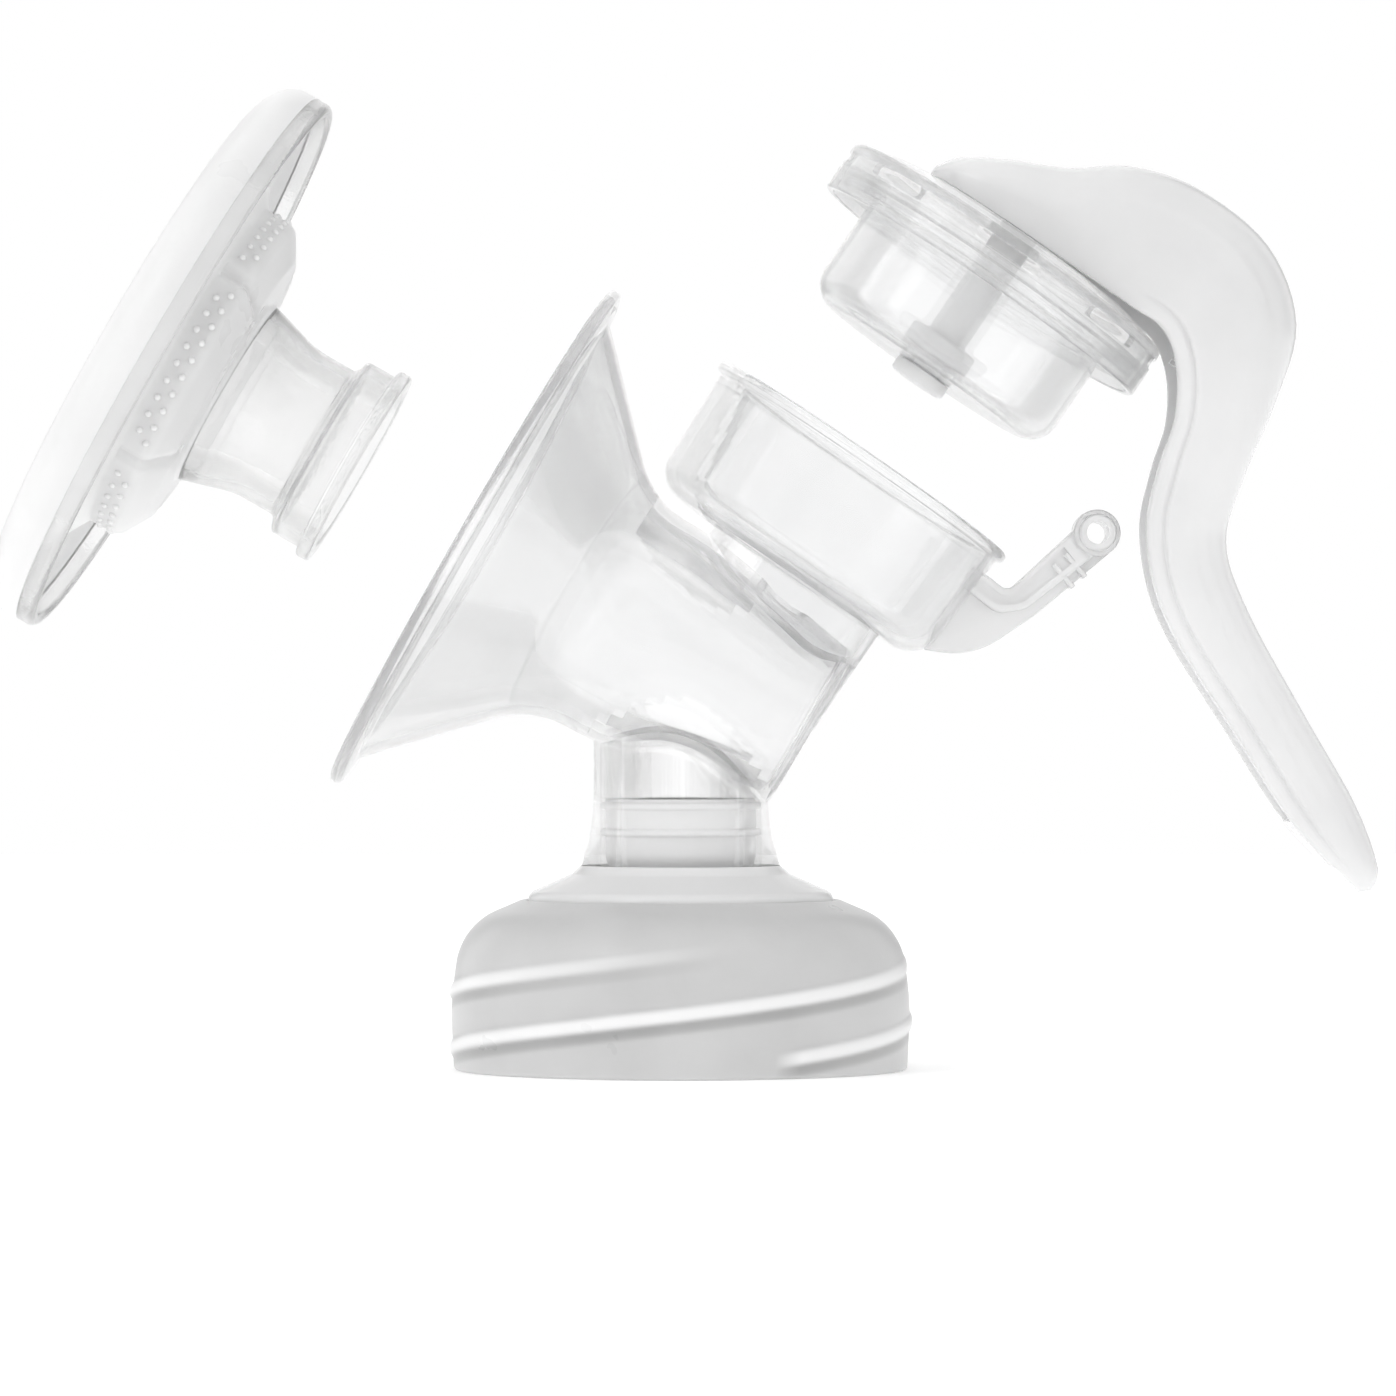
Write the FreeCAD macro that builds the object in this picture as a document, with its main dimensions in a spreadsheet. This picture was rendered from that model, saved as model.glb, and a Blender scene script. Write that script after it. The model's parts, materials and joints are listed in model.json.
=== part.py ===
import FreeCAD, Part
import math
import os
import Sketcher

# Manual breast pump. Millimetres, +Z up, origin at the centre of the screw collar's bottom face.
# The funnel opens towards -X and the squeeze handle is on the +X side. At rest the cushion and the lid unit
# stand off the pump body along their own axes; sliding them in closes the pump.

WIDTH_AXIS = FreeCAD.Vector(0, 1, 0)

# Driving dimensions. Every frame below has its own local +Z: the funnel frame looks into the tunnel from the
# mouth, the cup frame looks out of the cup from its rim, and the lid frame is the cup frame moved outwards.
SIZES = {
    # frames: origin in x and z, and tilt about Y
    "mouth_x": -30.7, "mouth_z": 79.9, "funnel_tilt": 120.0,
    "rim_x": 27.6, "rim_z": 91.8, "cup_tilt": 34.5,
    "lid_lift": 30.4, "cushion_lift": 20.1,
    # clear moulding
    "wall": 1.5, "lip_radius": 42.5, "lip_back": 0.9, "lip_front": -1.0, "lip_round": 0.85,
    "cone_back_z": 1.5, "cone_back_radius": 37.5, "cone_front_radius": 37.6, "throat_radius": 17.9,
    "throat_z": 20.2, "throat_round": 14.0, "inner_throat_z": 19.5, "inner_throat_round": 15.4,
    "horn_end": 27.0, "taper_start": 31.0, "tunnel_end": 58.0, "tunnel_end_radius": 13.1,
    # valve neck and its base
    "neck_top": 62.0, "neck_radius": 13.1, "neck_mid_z": 40.0, "neck_foot_radius": 14.4, "neck_foot_z": 31.2,
    "neck_bore": 12.2, "base_shoulder_radius": 22.9, "base_shoulder_z": 26.0, "flange_radius": 27.4,
    "flange_top": 20.9, "flange_bottom": 18.9, "base_bore": 23.6, "base_hollow_z": 23.6,
    "spout_radius": 9.6, "spout_bore": 8.4, "spout_bottom": 37.0,
    "valve_radius": 11.3, "valve_bore": 9.9, "valve_top": 40.6, "valve_bottom": 29.0, "valve_round": 3.4,
    "valve_floor": 30.4, "rib_radius": 12.1, "rib_high_z": 39.0, "rib_low_z": 35.0, "rib_height": 1.1,
    "drain_length": 24.0,
    # screw collar
    "collar_radius": 34.0, "collar_belly_radius": 34.5, "collar_belly_z": 10.0,
    "collar_shoulder_radius": 32.9, "collar_shoulder_z": 21.6, "collar_opening": 23.3, "collar_top": 25.7,
    "collar_bore": 31.6, "collar_roof_radius": 29.2, "collar_roof_z": 20.6, "collar_lip_z": 24.0,
    "collar_wall_z": 15.0,
    "lead_radius": 32.2, "lead_length": 2.2,
    "swirl_pitch": 26.0, "swirl_rise": 12.0, "swirl_start": 2.6, "swirl_width": 2.4, "swirl_height": 0.8,
    "swirl_root": 1.4, "swirl_count": 3, "swirl_turn": -66.0,
    "thread_pitch": 6.0, "thread_start": 3.8, "thread_rise": 7.0, "thread_depth": 1.3,
    "thread_width": 2.2, "thread_fit": 0.02,
    # cup
    "rim_radius": 26.0, "rim_height": 1.7, "cup_radius": 25.0, "cup_foot_radius": 24.1, "cup_depth": 21.0,
    "cup_round": 5.0, "cup_inner_round": 3.6, "cup_port": 4.5, "port_depth": 20.0, "port_length": 19.0,
    "seat_length": 14.8, "seat_width": 10.5, "seat_round": 9.0, "seat_shift": 2.0, "seat_depth": 24.0,
    # pivot arm
    "arm_width": 8.0, "web_width": 1.6, "eye_x": 62.3, "eye_z": 80.4, "eye_radius": 3.5, "pin_radius": 2.8,
    "pin_length": 14.0, "pin_bore": 1.7, "elbow_x": 51.6, "elbow_z": 68.9, "elbow_round": 4.0,
    "root_x": 47.4, "root_z": 68.3, "root_round": 3.0, "arm_foot_x": 41.8, "arm_foot_z": 72.6,
    # lid, diaphragm and stem
    "lid_radius": 27.8, "skirt_bottom": -0.2, "skirt_top": 7.6, "lid_crown": 9.3, "crown_radius": 21.0,
    "lid_bore": 4.6, "lid_wall": 1.3, "window_half": 5.5, "window_low": 4.4, "window_high": 6.2,
    "window_count": 8, "dia_radius": 21.0, "dia_wall": 1.0, "dia_rim_radius": 26.0, "dia_rim_low": 1.2,
    "dia_rim_high": 2.9, "dia_depth": 14.7, "dia_round": 4.2, "dia_bore": 3.3,
    "ring_inner": 22.0, "ring_low": 3.0, "ring_high": 4.2,
    "block_radius": 5.5, "block_top": -9.0, "foot_radius": 3.0, "knob_radius": 4.5, "knob_depth": 16.9,
    "shaft_radius": 3.15, "shaft_top": 12.4, "head_top": 16.2, "cross_z": 14.4, "cross_radius": 1.8,
    "cross_length": 11.8, "stem_play": 0.05,
    # handle
    "shell_wall": 2.0, "pivot_q": 35.05, "pivot_h": 11.16, "hook_bore": 2.95, "hook_inner_y": 4.6,
    "hook_outer_y": 6.7, "hook_half": 5.2, "hook_leg": 3.6, "clip_inner_y": 4.0, "clip_outer_y": 5.6,
    "slot_radius": 2.2, "slot_near": 0.1, "slot_far": -3.0, "slot_rim": 1.6, "plate_reach": 30.0,
    # cushion, measured forwards from the end of its cuff
    "soft_wall": 1.6, "cuff_flange_radius": 15.9, "cuff_flange": 2.2, "cuff_radius": 14.7,
    "cuff_length": 7.6, "waist_radius": 12.4, "waist_end": 14.5, "bell_radius": 15.2, "bell_end": 23.5,
    "pad_radius": 26.6, "pad_heel_radius": 21.7, "pad_back": 23.9, "pad_side": 27.2,
    "pad_front": 30.6, "skin": 2.0, "rim_outer": 45.0, "rim_inner": 42.9, "rim_back": 28.4,
    "disc_front": 41.4, "disc_edge_radius": 39.0, "mouth_radius": 13.4, "mouth_front": 26.0,
}

# Handle sections from the nose over the head down to the tip: outer x and z, inner x and z, half width.
HANDLE_SECTIONS = [
    (38.3, 135.3, 37.4, 134.0, 9.0),
    (42.0, 136.5, 40.6, 132.4, 12.5),
    (49.5, 136.0, 45.4, 129.1, 15.0),
    (58.0, 134.8, 52.4, 124.3, 16.0),
    (67.0, 135.1, 60.0, 119.1, 16.2),
    (77.3, 131.7, 66.6, 114.5, 16.0),
    (87.7, 123.2, 71.4, 110.4, 15.2),
    (92.0, 111.5, 73.6, 104.6, 13.8),
    (88.8, 99.6, 73.4, 97.2, 12.0),
    (84.4, 89.0, 71.0, 89.8, 10.6),
    (81.6, 79.0, 69.3, 80.2, 9.8),
    (85.0, 68.4, 72.2, 67.4, 9.6),
    (93.2, 53.4, 82.2, 50.8, 9.4),
    (100.9, 39.8, 91.0, 37.2, 8.8),
    (104.4, 30.2, 98.4, 29.6, 7.0),
    (103.6, 26.9, 101.4, 26.7, 4.0),
]

SECTION_STEPS = 3
CORNER_SHARE = 0.55

doc = FreeCAD.newDocument("breast_pump")
sheet = doc.addObject("Spreadsheet::Sheet", "Sizes")


def fill_sheet():
    for row, (alias, number) in enumerate(SIZES.items(), start=1):
        sheet.set(f"A{row}", alias)
        sheet.set(f"B{row}", str(number))
        sheet.setAlias(f"B{row}", alias)
    doc.recompute()


def value(text):
    """Number of a sum of sizes, such as 'cup_radius - wall'."""
    total = 0.0
    sign = 1
    for word in text.split():
        if word in "+-":
            sign = 1 if word == "+" else -1
        else:
            total += sign * (sheet.get(word) if word in SIZES else float(word))
            sign = 1
    return total


def formula(text):
    """The same sum as an expression on the spreadsheet."""
    words = ["Sizes." + word if word in SIZES else word for word in text.split()]
    return " ".join(words)


def cup_point(q, lift):
    """World point at distance q across the cup and lift above its rim centre, in the plane y = 0."""
    tilt = math.radians(value("cup_tilt"))
    x = value("rim_x") + q * math.cos(tilt) + lift * math.sin(tilt)
    z = value("rim_z") - q * math.sin(tilt) + lift * math.cos(tilt)
    return FreeCAD.Vector(x, 0, z)


def frame_at(point, tilt):
    return FreeCAD.Placement(point, FreeCAD.Rotation(WIDTH_AXIS, tilt))


def funnel_frame(along=0.0):
    """Funnel frame moved along its axis into the pump by the given distance."""
    frame = frame_at(FreeCAD.Vector(value("mouth_x"), 0, value("mouth_z")), value("funnel_tilt"))
    return frame.multiply(FreeCAD.Placement(FreeCAD.Vector(0, 0, along), FreeCAD.Rotation()))


fill_sheet()
WORLD = FreeCAD.Placement()
FUNNEL = funnel_frame()
CUSHION = funnel_frame(-value("cushion_lift"))
CUP = frame_at(cup_point(0, 0), value("cup_tilt"))
LID = frame_at(cup_point(0, value("lid_lift")), value("cup_tilt"))


def new_body(label, frame=WORLD):
    body = doc.addObject("PartDesign::Body", label)
    body.Label = label
    body.Placement = frame
    return body


def new_sketch(body, plane, name):
    sketch = body.newObject("Sketcher::SketchObject", name)
    plane_feature = [item for item in body.Origin.OriginFeatures if item.Role == plane][0]
    sketch.AttachmentSupport = [(plane_feature, "")]
    sketch.MapMode = "FlatFace"
    doc.recompute()
    return sketch


def bind(sketch, index, name, text):
    sketch.renameConstraint(index, name)
    sketch.setExpression("Constraints." + name, formula(text))


def add_outline(sketch, corners):
    """Closed outline through the corners (x, y) or (x, y, round), each a sum of sizes."""
    points = [FreeCAD.Vector(value(corner[0]), value(corner[1]), 0) for corner in corners]
    count = len(points)
    leave = list(points)
    reach = list(points)
    arcs = {}
    for i, corner in enumerate(corners):
        if len(corner) < 3:
            continue
        radius = value(corner[2])
        back = (points[i - 1] - points[i]).normalize()
        ahead = (points[(i + 1) % count] - points[i]).normalize()
        half = back.getAngle(ahead) / 2
        reach[i] = points[i] + back * (radius / math.tan(half))
        leave[i] = points[i] + ahead * (radius / math.tan(half))
        centre = points[i] + (back + ahead).normalize() * (radius / math.sin(half))
        left_turn = back.cross(ahead).z < 0
        begin, finish = (reach[i], leave[i]) if left_turn else (leave[i], reach[i])
        start_angle = math.atan2(begin.y - centre.y, begin.x - centre.x)
        end_angle = math.atan2(finish.y - centre.y, finish.x - centre.x)
        if end_angle < start_angle:
            end_angle += 2 * math.pi
        circle = Part.Circle(centre, FreeCAD.Vector(0, 0, 1), radius)
        arcs[i] = (Part.ArcOfCircle(circle, start_angle, end_angle), left_turn)
    lines = [Part.LineSegment(leave[i], reach[(i + 1) % count]) for i in range(count)]
    first = sketch.GeometryCount
    sketch.addGeometry(lines, False)
    for i, corner in enumerate(corners):
        line_in = first + (i - 1) % count
        line_out = first + i
        if i in arcs:
            arc, left_turn = arcs[i]
            arc_id = sketch.addGeometry(arc, False)
            vertex = sketch.addGeometry(Part.Point(points[i]), True)
            near, far = (1, 2) if left_turn else (2, 1)
            sketch.addConstraint([
                Sketcher.Constraint("Tangent", line_in, 2, arc_id, near),
                Sketcher.Constraint("Tangent", line_out, 1, arc_id, far),
                Sketcher.Constraint("PointOnObject", vertex, 1, line_in),
                Sketcher.Constraint("PointOnObject", vertex, 1, line_out),
            ])
            size = sketch.addConstraint(Sketcher.Constraint("Radius", arc_id, value(corner[2])))
            bind(sketch, size, f"round{line_out}", corner[2])
            place = (vertex, 1)
        else:
            sketch.addConstraint(Sketcher.Constraint("Coincident", line_in, 2, line_out, 1))
            place = (line_out, 1)
        across = sketch.addConstraint(Sketcher.Constraint("DistanceX", -1, 1, *place, points[i].x))
        bind(sketch, across, f"across{line_out}", corner[0])
        along = sketch.addConstraint(Sketcher.Constraint("DistanceY", -1, 1, *place, points[i].y))
        bind(sketch, along, f"along{line_out}", corner[1])


def add_circle(sketch, x, y, radius):
    centre = FreeCAD.Vector(value(x), value(y), 0)
    circle = sketch.addGeometry(Part.Circle(centre, FreeCAD.Vector(0, 0, 1), value(radius)), False)
    size = sketch.addConstraint(Sketcher.Constraint("Radius", circle, value(radius)))
    bind(sketch, size, f"radius{circle}", radius)
    across = sketch.addConstraint(Sketcher.Constraint("DistanceX", -1, 1, circle, 3, centre.x))
    bind(sketch, across, f"across{circle}", x)
    along = sketch.addConstraint(Sketcher.Constraint("DistanceY", -1, 1, circle, 3, centre.y))
    bind(sketch, along, f"along{circle}", y)


def turned(label, corners, frame=WORLD):
    """Body of revolution about its own Z axis: corners are (radius, height[, round])."""
    body = new_body(label, frame)
    sketch = new_sketch(body, "XZ_Plane", label + "_profile")
    add_outline(sketch, corners)
    solid = body.newObject("PartDesign::Revolution", label + "_turn")
    solid.Profile = sketch
    solid.ReferenceAxis = (sketch, ["V_Axis"])
    solid.Angle = 360
    doc.recompute()
    return body


def pad(body, sketch, length, symmetric=True, reverse=False):
    feature = body.newObject("PartDesign::Pad", sketch.Name + "_pad")
    feature.Profile = sketch
    feature.setExpression("Length", formula(length))
    feature.SideType = "Symmetric" if symmetric else "One side"
    feature.Reversed = reverse
    doc.recompute()
    return feature


def pocket(body, sketch, length, symmetric=True, reverse=False):
    before = body.Shape.Volume
    feature = body.newObject("PartDesign::Pocket", sketch.Name + "_pocket")
    feature.Profile = sketch
    feature.setExpression("Length", formula(length))
    feature.SideType = "Symmetric" if symmetric else "One side"
    feature.Reversed = reverse
    doc.recompute()
    if body.Shape.Volume > before - 0.1:
        raise RuntimeError(sketch.Name + " cuts nothing")
    return feature


def cylinder(name, radius, height, frame):
    solid = doc.addObject("Part::Cylinder", name)
    solid.setExpression("Radius", formula(radius))
    solid.setExpression("Height", formula(height))
    solid.Placement = frame
    return solid


def cut(label, base, tool):
    result = doc.addObject("Part::Cut", label)
    result.Label = label
    result.Base = base
    result.Tool = tool
    doc.recompute()
    return result


def moved(frame, x, y, z, tilt=0.0):
    """A frame shifted by local x, y, z and then tilted about its own Y axis."""
    return frame.multiply(FreeCAD.Placement(FreeCAD.Vector(x, y, z), FreeCAD.Rotation(WIDTH_AXIS, tilt)))


# ---------------------------------------------------------------- clear moulding


def funnel_horn():
    return turned("funnel_horn", [
        ("lip_radius", "lip_front", "lip_round"),
        ("lip_radius", "lip_back", "lip_round"),
        ("cone_back_radius", "cone_back_z", "wall"),
        ("throat_radius", "throat_z", "throat_round"),
        ("throat_radius", "horn_end"),
        ("throat_radius - wall", "horn_end"),
        ("throat_radius - wall", "inner_throat_z", "inner_throat_round"),
        ("cone_front_radius", "lip_front", "wall"),
    ], FUNNEL)


def tunnel_blank():
    return turned("tunnel_blank", [
        ("throat_radius", "horn_end"),
        ("throat_radius", "taper_start"),
        ("tunnel_end_radius", "tunnel_end", "wall"),
        ("0", "tunnel_end"),
        ("0", "tunnel_end - wall"),
        ("tunnel_end_radius - wall", "tunnel_end - wall", "0.8"),
        ("throat_radius - wall", "taper_start"),
        ("throat_radius - wall", "horn_end"),
    ], FUNNEL)


def horn_envelope():
    """Outer volume of the whole funnel wall, with the flare filled in."""
    return turned("horn_envelope", [
        ("lip_radius", "lip_back"),
        ("cone_back_radius", "cone_back_z"),
        ("throat_radius", "throat_z", "throat_round"),
        ("throat_radius", "taper_start"),
        ("tunnel_end_radius", "tunnel_end", "wall"),
        ("0", "tunnel_end"),
        ("0", "lip_back"),
    ], FUNNEL)


def tunnel_tube():
    drain_frame = moved(WORLD, 0, 0, value("neck_foot_z"))
    spout_hole = cylinder("spout_hole", "spout_bore", "drain_length", drain_frame)
    port_frame = moved(CUP, value("seat_shift"), 0, -value("cup_depth + port_depth"))
    air_hole = cylinder("air_hole", "cup_port", "port_length", port_frame)
    return cut("tunnel_tube", cut("tunnel_drained", tunnel_blank(), spout_hole), air_hole)


def valve_neck(envelope):
    tube = turned("neck_blank", [
        ("neck_bore", "neck_foot_z"),
        ("neck_foot_radius", "neck_foot_z"),
        ("neck_radius", "neck_mid_z", "20"),
        ("neck_radius", "neck_top"),
        ("neck_bore", "neck_top"),
    ])
    return cut("valve_neck", tube, envelope)


def neck_base():
    return turned("neck_base", [
        ("neck_bore", "neck_foot_z"),
        ("neck_foot_radius", "neck_foot_z"),
        ("base_shoulder_radius - 7", "base_shoulder_z + 3", "3"),
        ("base_shoulder_radius", "base_shoulder_z", "1"),
        ("base_shoulder_radius", "flange_top"),
        ("flange_radius", "flange_top"),
        ("flange_radius", "flange_bottom"),
        ("base_bore", "flange_bottom"),
        ("base_bore - 2.4", "base_hollow_z", "3"),
        ("neck_bore + 1", "neck_foot_z - 3.2", "2"),
        ("neck_bore", "neck_foot_z - 2"),
    ])


def valve_spout(envelope):
    tube = turned("spout_blank", [
        ("spout_bore", "spout_bottom"),
        ("spout_radius", "spout_bottom"),
        ("spout_radius", "neck_top"),
        ("spout_bore", "neck_top"),
    ])
    return cut("valve_spout", tube, envelope)


def duckbill_valve():
    return turned("duckbill_valve", [
        ("valve_bore", "valve_top"),
        ("valve_radius", "valve_top", "0.4"),
        ("valve_radius", "rib_high_z + rib_height"),
        ("rib_radius", "rib_high_z + rib_height", "0.4"),
        ("rib_radius", "rib_high_z", "0.4"),
        ("valve_radius", "rib_high_z"),
        ("valve_radius", "rib_low_z + rib_height"),
        ("rib_radius", "rib_low_z + rib_height", "0.4"),
        ("rib_radius", "rib_low_z", "0.4"),
        ("valve_radius", "rib_low_z"),
        ("valve_radius", "valve_bottom", "valve_round"),
        ("0", "valve_bottom"),
        ("0", "valve_floor"),
        ("valve_bore", "valve_floor", "2"),
    ])


def pump_cup_body(label, solid):
    """The cup, or with solid set its outer volume, in the cup frame with the rim at height 0."""
    outer = [
        ("rim_radius", "0", "0.7"),
        ("rim_radius", "0 - rim_height", "0.7"),
        ("cup_radius", "0 - rim_height"),
        ("cup_foot_radius", "0 - cup_depth", "cup_round"),
    ]
    if solid:
        inner = [("0", "0 - cup_depth"), ("0", "0")]
    else:
        inner = [
            ("cup_port", "0 - cup_depth"),
            ("cup_port", "wall - cup_depth"),
            ("cup_foot_radius - wall", "wall - cup_depth", "cup_inner_round"),
            ("cup_radius - wall", "0", "0.4"),
        ]
    return turned(label, outer + inner, CUP)


def cup_seat(envelope):
    """Oval wedge that carries the cup on the tunnel."""
    body = new_body("seat_blank", moved(CUP, value("seat_shift"), 0, -value("cup_depth")))
    outer = new_sketch(body, "XY_Plane", "seat_outline")
    corner_signs = [(1, 1), (-1, 1), (-1, -1), (1, -1)]
    add_outline(outer, [oval_corner(x, y, "0") for x, y in corner_signs])
    pad(body, outer, "seat_depth", symmetric=False, reverse=True)
    inner = new_sketch(body, "XY_Plane", "seat_hollow")
    add_outline(inner, [oval_corner(x, y, "wall") for x, y in corner_signs])
    pocket(body, inner, "seat_depth", symmetric=False)
    return cut("cup_seat", body, envelope)


def oval_corner(x_sign, y_sign, inset):
    x = "seat_length - " + inset if x_sign > 0 else inset + " - seat_length"
    y = "seat_width - " + inset if y_sign > 0 else inset + " - seat_width"
    return (x, y, "seat_round - " + inset)


def pivot_arm(cup_volume):
    body = new_body("arm_blank")
    bar = new_sketch(body, "XZ_Plane", "arm_bar")
    add_outline(bar, [
        ("43.4", "75.6"),
        ("46.2", "73.8"),
        ("48.9", "71.6", "1.6"),
        ("eye_x - 2.6", "eye_z + 1.2"),
        ("eye_x", "eye_z"),
        ("eye_x - 0.6", "eye_z - 3.6"),
        ("elbow_x", "elbow_z", "elbow_round"),
        ("root_x", "root_z", "root_round"),
        ("arm_foot_x", "arm_foot_z"),
    ])
    pad(body, bar, "arm_width")
    eye = new_sketch(body, "XZ_Plane", "arm_eye")
    add_circle(eye, "eye_x", "eye_z", "eye_radius")
    pad(body, eye, "arm_width")
    pin = new_sketch(body, "XZ_Plane", "arm_pin")
    add_circle(pin, "eye_x", "eye_z", "pin_radius")
    pad(body, pin, "pin_length")
    bore = new_sketch(body, "XZ_Plane", "arm_bore")
    add_circle(bore, "eye_x", "eye_z", "pin_bore")
    pocket(body, bore, "pin_length + 2")
    return cut("pivot_arm", body, cup_volume)


def arm_web(cup_volume):
    body = new_body("web_blank")
    sketch = new_sketch(body, "XZ_Plane", "web_outline")
    add_outline(sketch, [
        ("36.6", "63.4"),
        ("43.6", "61.8", "12"),
        ("53.0", "68.0", "14"),
        ("65.0", "77.6"),
        ("63.6", "76.7"),
        ("eye_x - 0.62", "eye_z - 3.62"),
        ("elbow_x + 0.02", "elbow_z - 0.02", "elbow_round"),
        ("root_x", "root_z - 0.02", "root_round"),
        ("arm_foot_x - 0.02", "arm_foot_z - 0.02"),
    ])
    pad(body, sketch, "web_width")
    return cut("arm_web", body, cup_volume)


# ---------------------------------------------------------------- screw collar


COLLAR_OUTSIDE = [
    ("collar_radius", "0", "0.6"),
    ("collar_belly_radius", "collar_belly_z", "40"),
    ("collar_shoulder_radius", "collar_shoulder_z", "10"),
    ("collar_opening", "collar_top", "0.5"),
]


def screw_collar():
    return turned("screw_collar", COLLAR_OUTSIDE + [
        ("collar_opening", "collar_lip_z"),
        ("collar_roof_radius", "collar_roof_z", "5"),
        ("collar_bore", "collar_wall_z", "20"),
        ("collar_bore", "lead_length"),
        ("lead_radius", "lead_length"),
        ("lead_radius", "0"),
    ])


def helical_ridge(label, radius, pitch, rise, start, width, depth):
    """Ridge along a helix: its root is on the radius, its crest off it by depth, inwards if below 0."""
    helix = doc.addObject("Part::Helix", label + "_path")
    helix.setExpression("Radius", formula(radius))
    helix.setExpression("Pitch", formula(pitch))
    helix.setExpression("Height", formula(rise))
    helix.Placement = moved(WORLD, 0, 0, value(start))
    doc.recompute()
    section = doc.addObject("Part::Feature", label + "_section")
    root = value(radius)
    crest = root + depth
    half = value(width) / 2
    low = value(start) - half
    high = value(start) + half
    slope = half / 2
    corners = [(root, low), (root, high), (crest, high - slope), (crest, low + slope), (root, low)]
    section.Shape = Part.makePolygon([FreeCAD.Vector(x, 0, z) for x, z in corners])
    sweep = doc.addObject("Part::Sweep", label)
    sweep.Label = label
    sweep.Sections = [section]
    sweep.Spine = (helix, [])
    sweep.Solid = True
    sweep.Frenet = True
    doc.recompute()
    return sweep


def collar_thread():
    """A turn and a bit of thread inside the collar."""
    return helical_ridge("collar_thread", "collar_bore - thread_fit", "thread_pitch", "thread_rise",
                         "thread_start", "thread_width", -value("thread_depth"))


def grip_swirls():
    """Shallow rising ribs round the outside of the collar."""
    ridge = helical_ridge("swirl_blank", "collar_radius - 1", "swirl_pitch", "swirl_rise",
                          "swirl_start", "swirl_width", value("swirl_root + swirl_height"))
    core = turned("collar_core", COLLAR_OUTSIDE + [("0", "collar_top"), ("0", "0")])
    proud = cut("swirl_proud", ridge, core)
    count = int(value("swirl_count"))
    ribs = []
    for k in range(count):
        turn = FreeCAD.Rotation(FreeCAD.Vector(0, 0, 1), value("swirl_turn") + 360 * k / count)
        rib = proud.Shape.copy()
        rib.Placement = FreeCAD.Placement(FreeCAD.Vector(), turn).multiply(rib.Placement)
        ribs.append(rib)
    return solid_feature("grip_swirls", Part.Compound(ribs))


# ---------------------------------------------------------------- lid, diaphragm and stem


def lid_cover():
    body = turned("lid_cover", [
        ("lid_radius", "skirt_bottom", "0.5"),
        ("lid_radius", "skirt_top", "1"),
        ("crown_radius", "lid_crown", "6"),
        ("lid_bore", "lid_crown"),
        ("lid_bore", "lid_crown - lid_wall"),
        ("crown_radius", "lid_crown - lid_wall", "4"),
        ("lid_radius - lid_wall", "skirt_top - lid_wall", "0.6"),
        ("lid_radius - lid_wall", "skirt_bottom"),
    ], LID)
    sketch = new_sketch(body, "XZ_Plane", "lid_window")
    add_outline(sketch, [
        ("0 - window_half", "window_low", "0.6"),
        ("window_half", "window_low", "0.6"),
        ("window_half", "window_high", "0.6"),
        ("0 - window_half", "window_high", "0.6"),
    ])
    window = pocket(body, sketch, "lid_radius + 2", symmetric=False)
    pattern = body.newObject("PartDesign::PolarPattern", "lid_windows")
    pattern.Originals = [window]
    axis = [item for item in body.Origin.OriginFeatures if item.Role == "Z_Axis"][0]
    pattern.Axis = (axis, [""])
    pattern.Angle = 360
    pattern.setExpression("Occurrences", formula("window_count"))
    body.Tip = pattern
    doc.recompute()
    return body


def clamp_ring():
    return turned("clamp_ring", [
        ("ring_inner", "ring_low"),
        ("lid_radius - lid_wall", "ring_low"),
        ("lid_radius - lid_wall", "ring_high"),
        ("ring_inner", "ring_high", "0.5"),
    ], LID)


def diaphragm_rim():
    return turned("diaphragm_rim", [
        ("dia_radius", "dia_rim_low"),
        ("dia_rim_radius", "dia_rim_low", "0.5"),
        ("dia_rim_radius", "dia_rim_high", "0.5"),
        ("dia_radius - dia_wall", "dia_rim_high", "0.5"),
        ("dia_radius - dia_wall", "dia_rim_low"),
    ], LID)


def diaphragm():
    return turned("diaphragm", [
        ("dia_radius", "dia_rim_low"),
        ("dia_radius", "0 - dia_depth", "dia_round"),
        ("dia_bore", "0 - dia_depth"),
        ("dia_bore", "dia_wall - dia_depth"),
        ("dia_radius - dia_wall", "dia_wall - dia_depth", "dia_round - dia_wall"),
        ("dia_radius - dia_wall", "dia_rim_low"),
    ], LID)


def stem_foot():
    """Block above the diaphragm, neck through it and the knob below it."""
    return turned("stem_foot", [
        ("0", "block_top"),
        ("block_radius", "block_top", "0.5"),
        ("block_radius", "dia_wall - dia_depth + stem_play"),
        ("foot_radius", "dia_wall - dia_depth + stem_play"),
        ("foot_radius", "0 - dia_depth - stem_play"),
        ("knob_radius", "0 - dia_depth - stem_play"),
        ("knob_radius", "0 - knob_depth", "0.6"),
        ("0", "0 - knob_depth"),
    ], LID)


def stem_shaft():
    return turned("stem_shaft", [
        ("0", "block_top"),
        ("shaft_radius", "block_top"),
        ("shaft_radius", "shaft_top"),
        ("0", "shaft_top"),
    ], LID)


def stem_head():
    post_frame = moved(LID, 0, 0, value("shaft_top"))
    post = cylinder("head_post", "shaft_radius", "head_top - shaft_top", post_frame)
    across = FreeCAD.Placement(
        FreeCAD.Vector(0, value("cross_length") / 2, value("cross_z")),
        FreeCAD.Rotation(FreeCAD.Vector(1, 0, 0), 90),
    )
    cross = cylinder("head_cross", "cross_radius", "cross_length", LID.multiply(across))
    head = doc.addObject("Part::Fuse", "stem_head")
    head.Label = "stem_head"
    head.Base = post
    head.Tool = cross
    doc.recompute()
    return head


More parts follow.
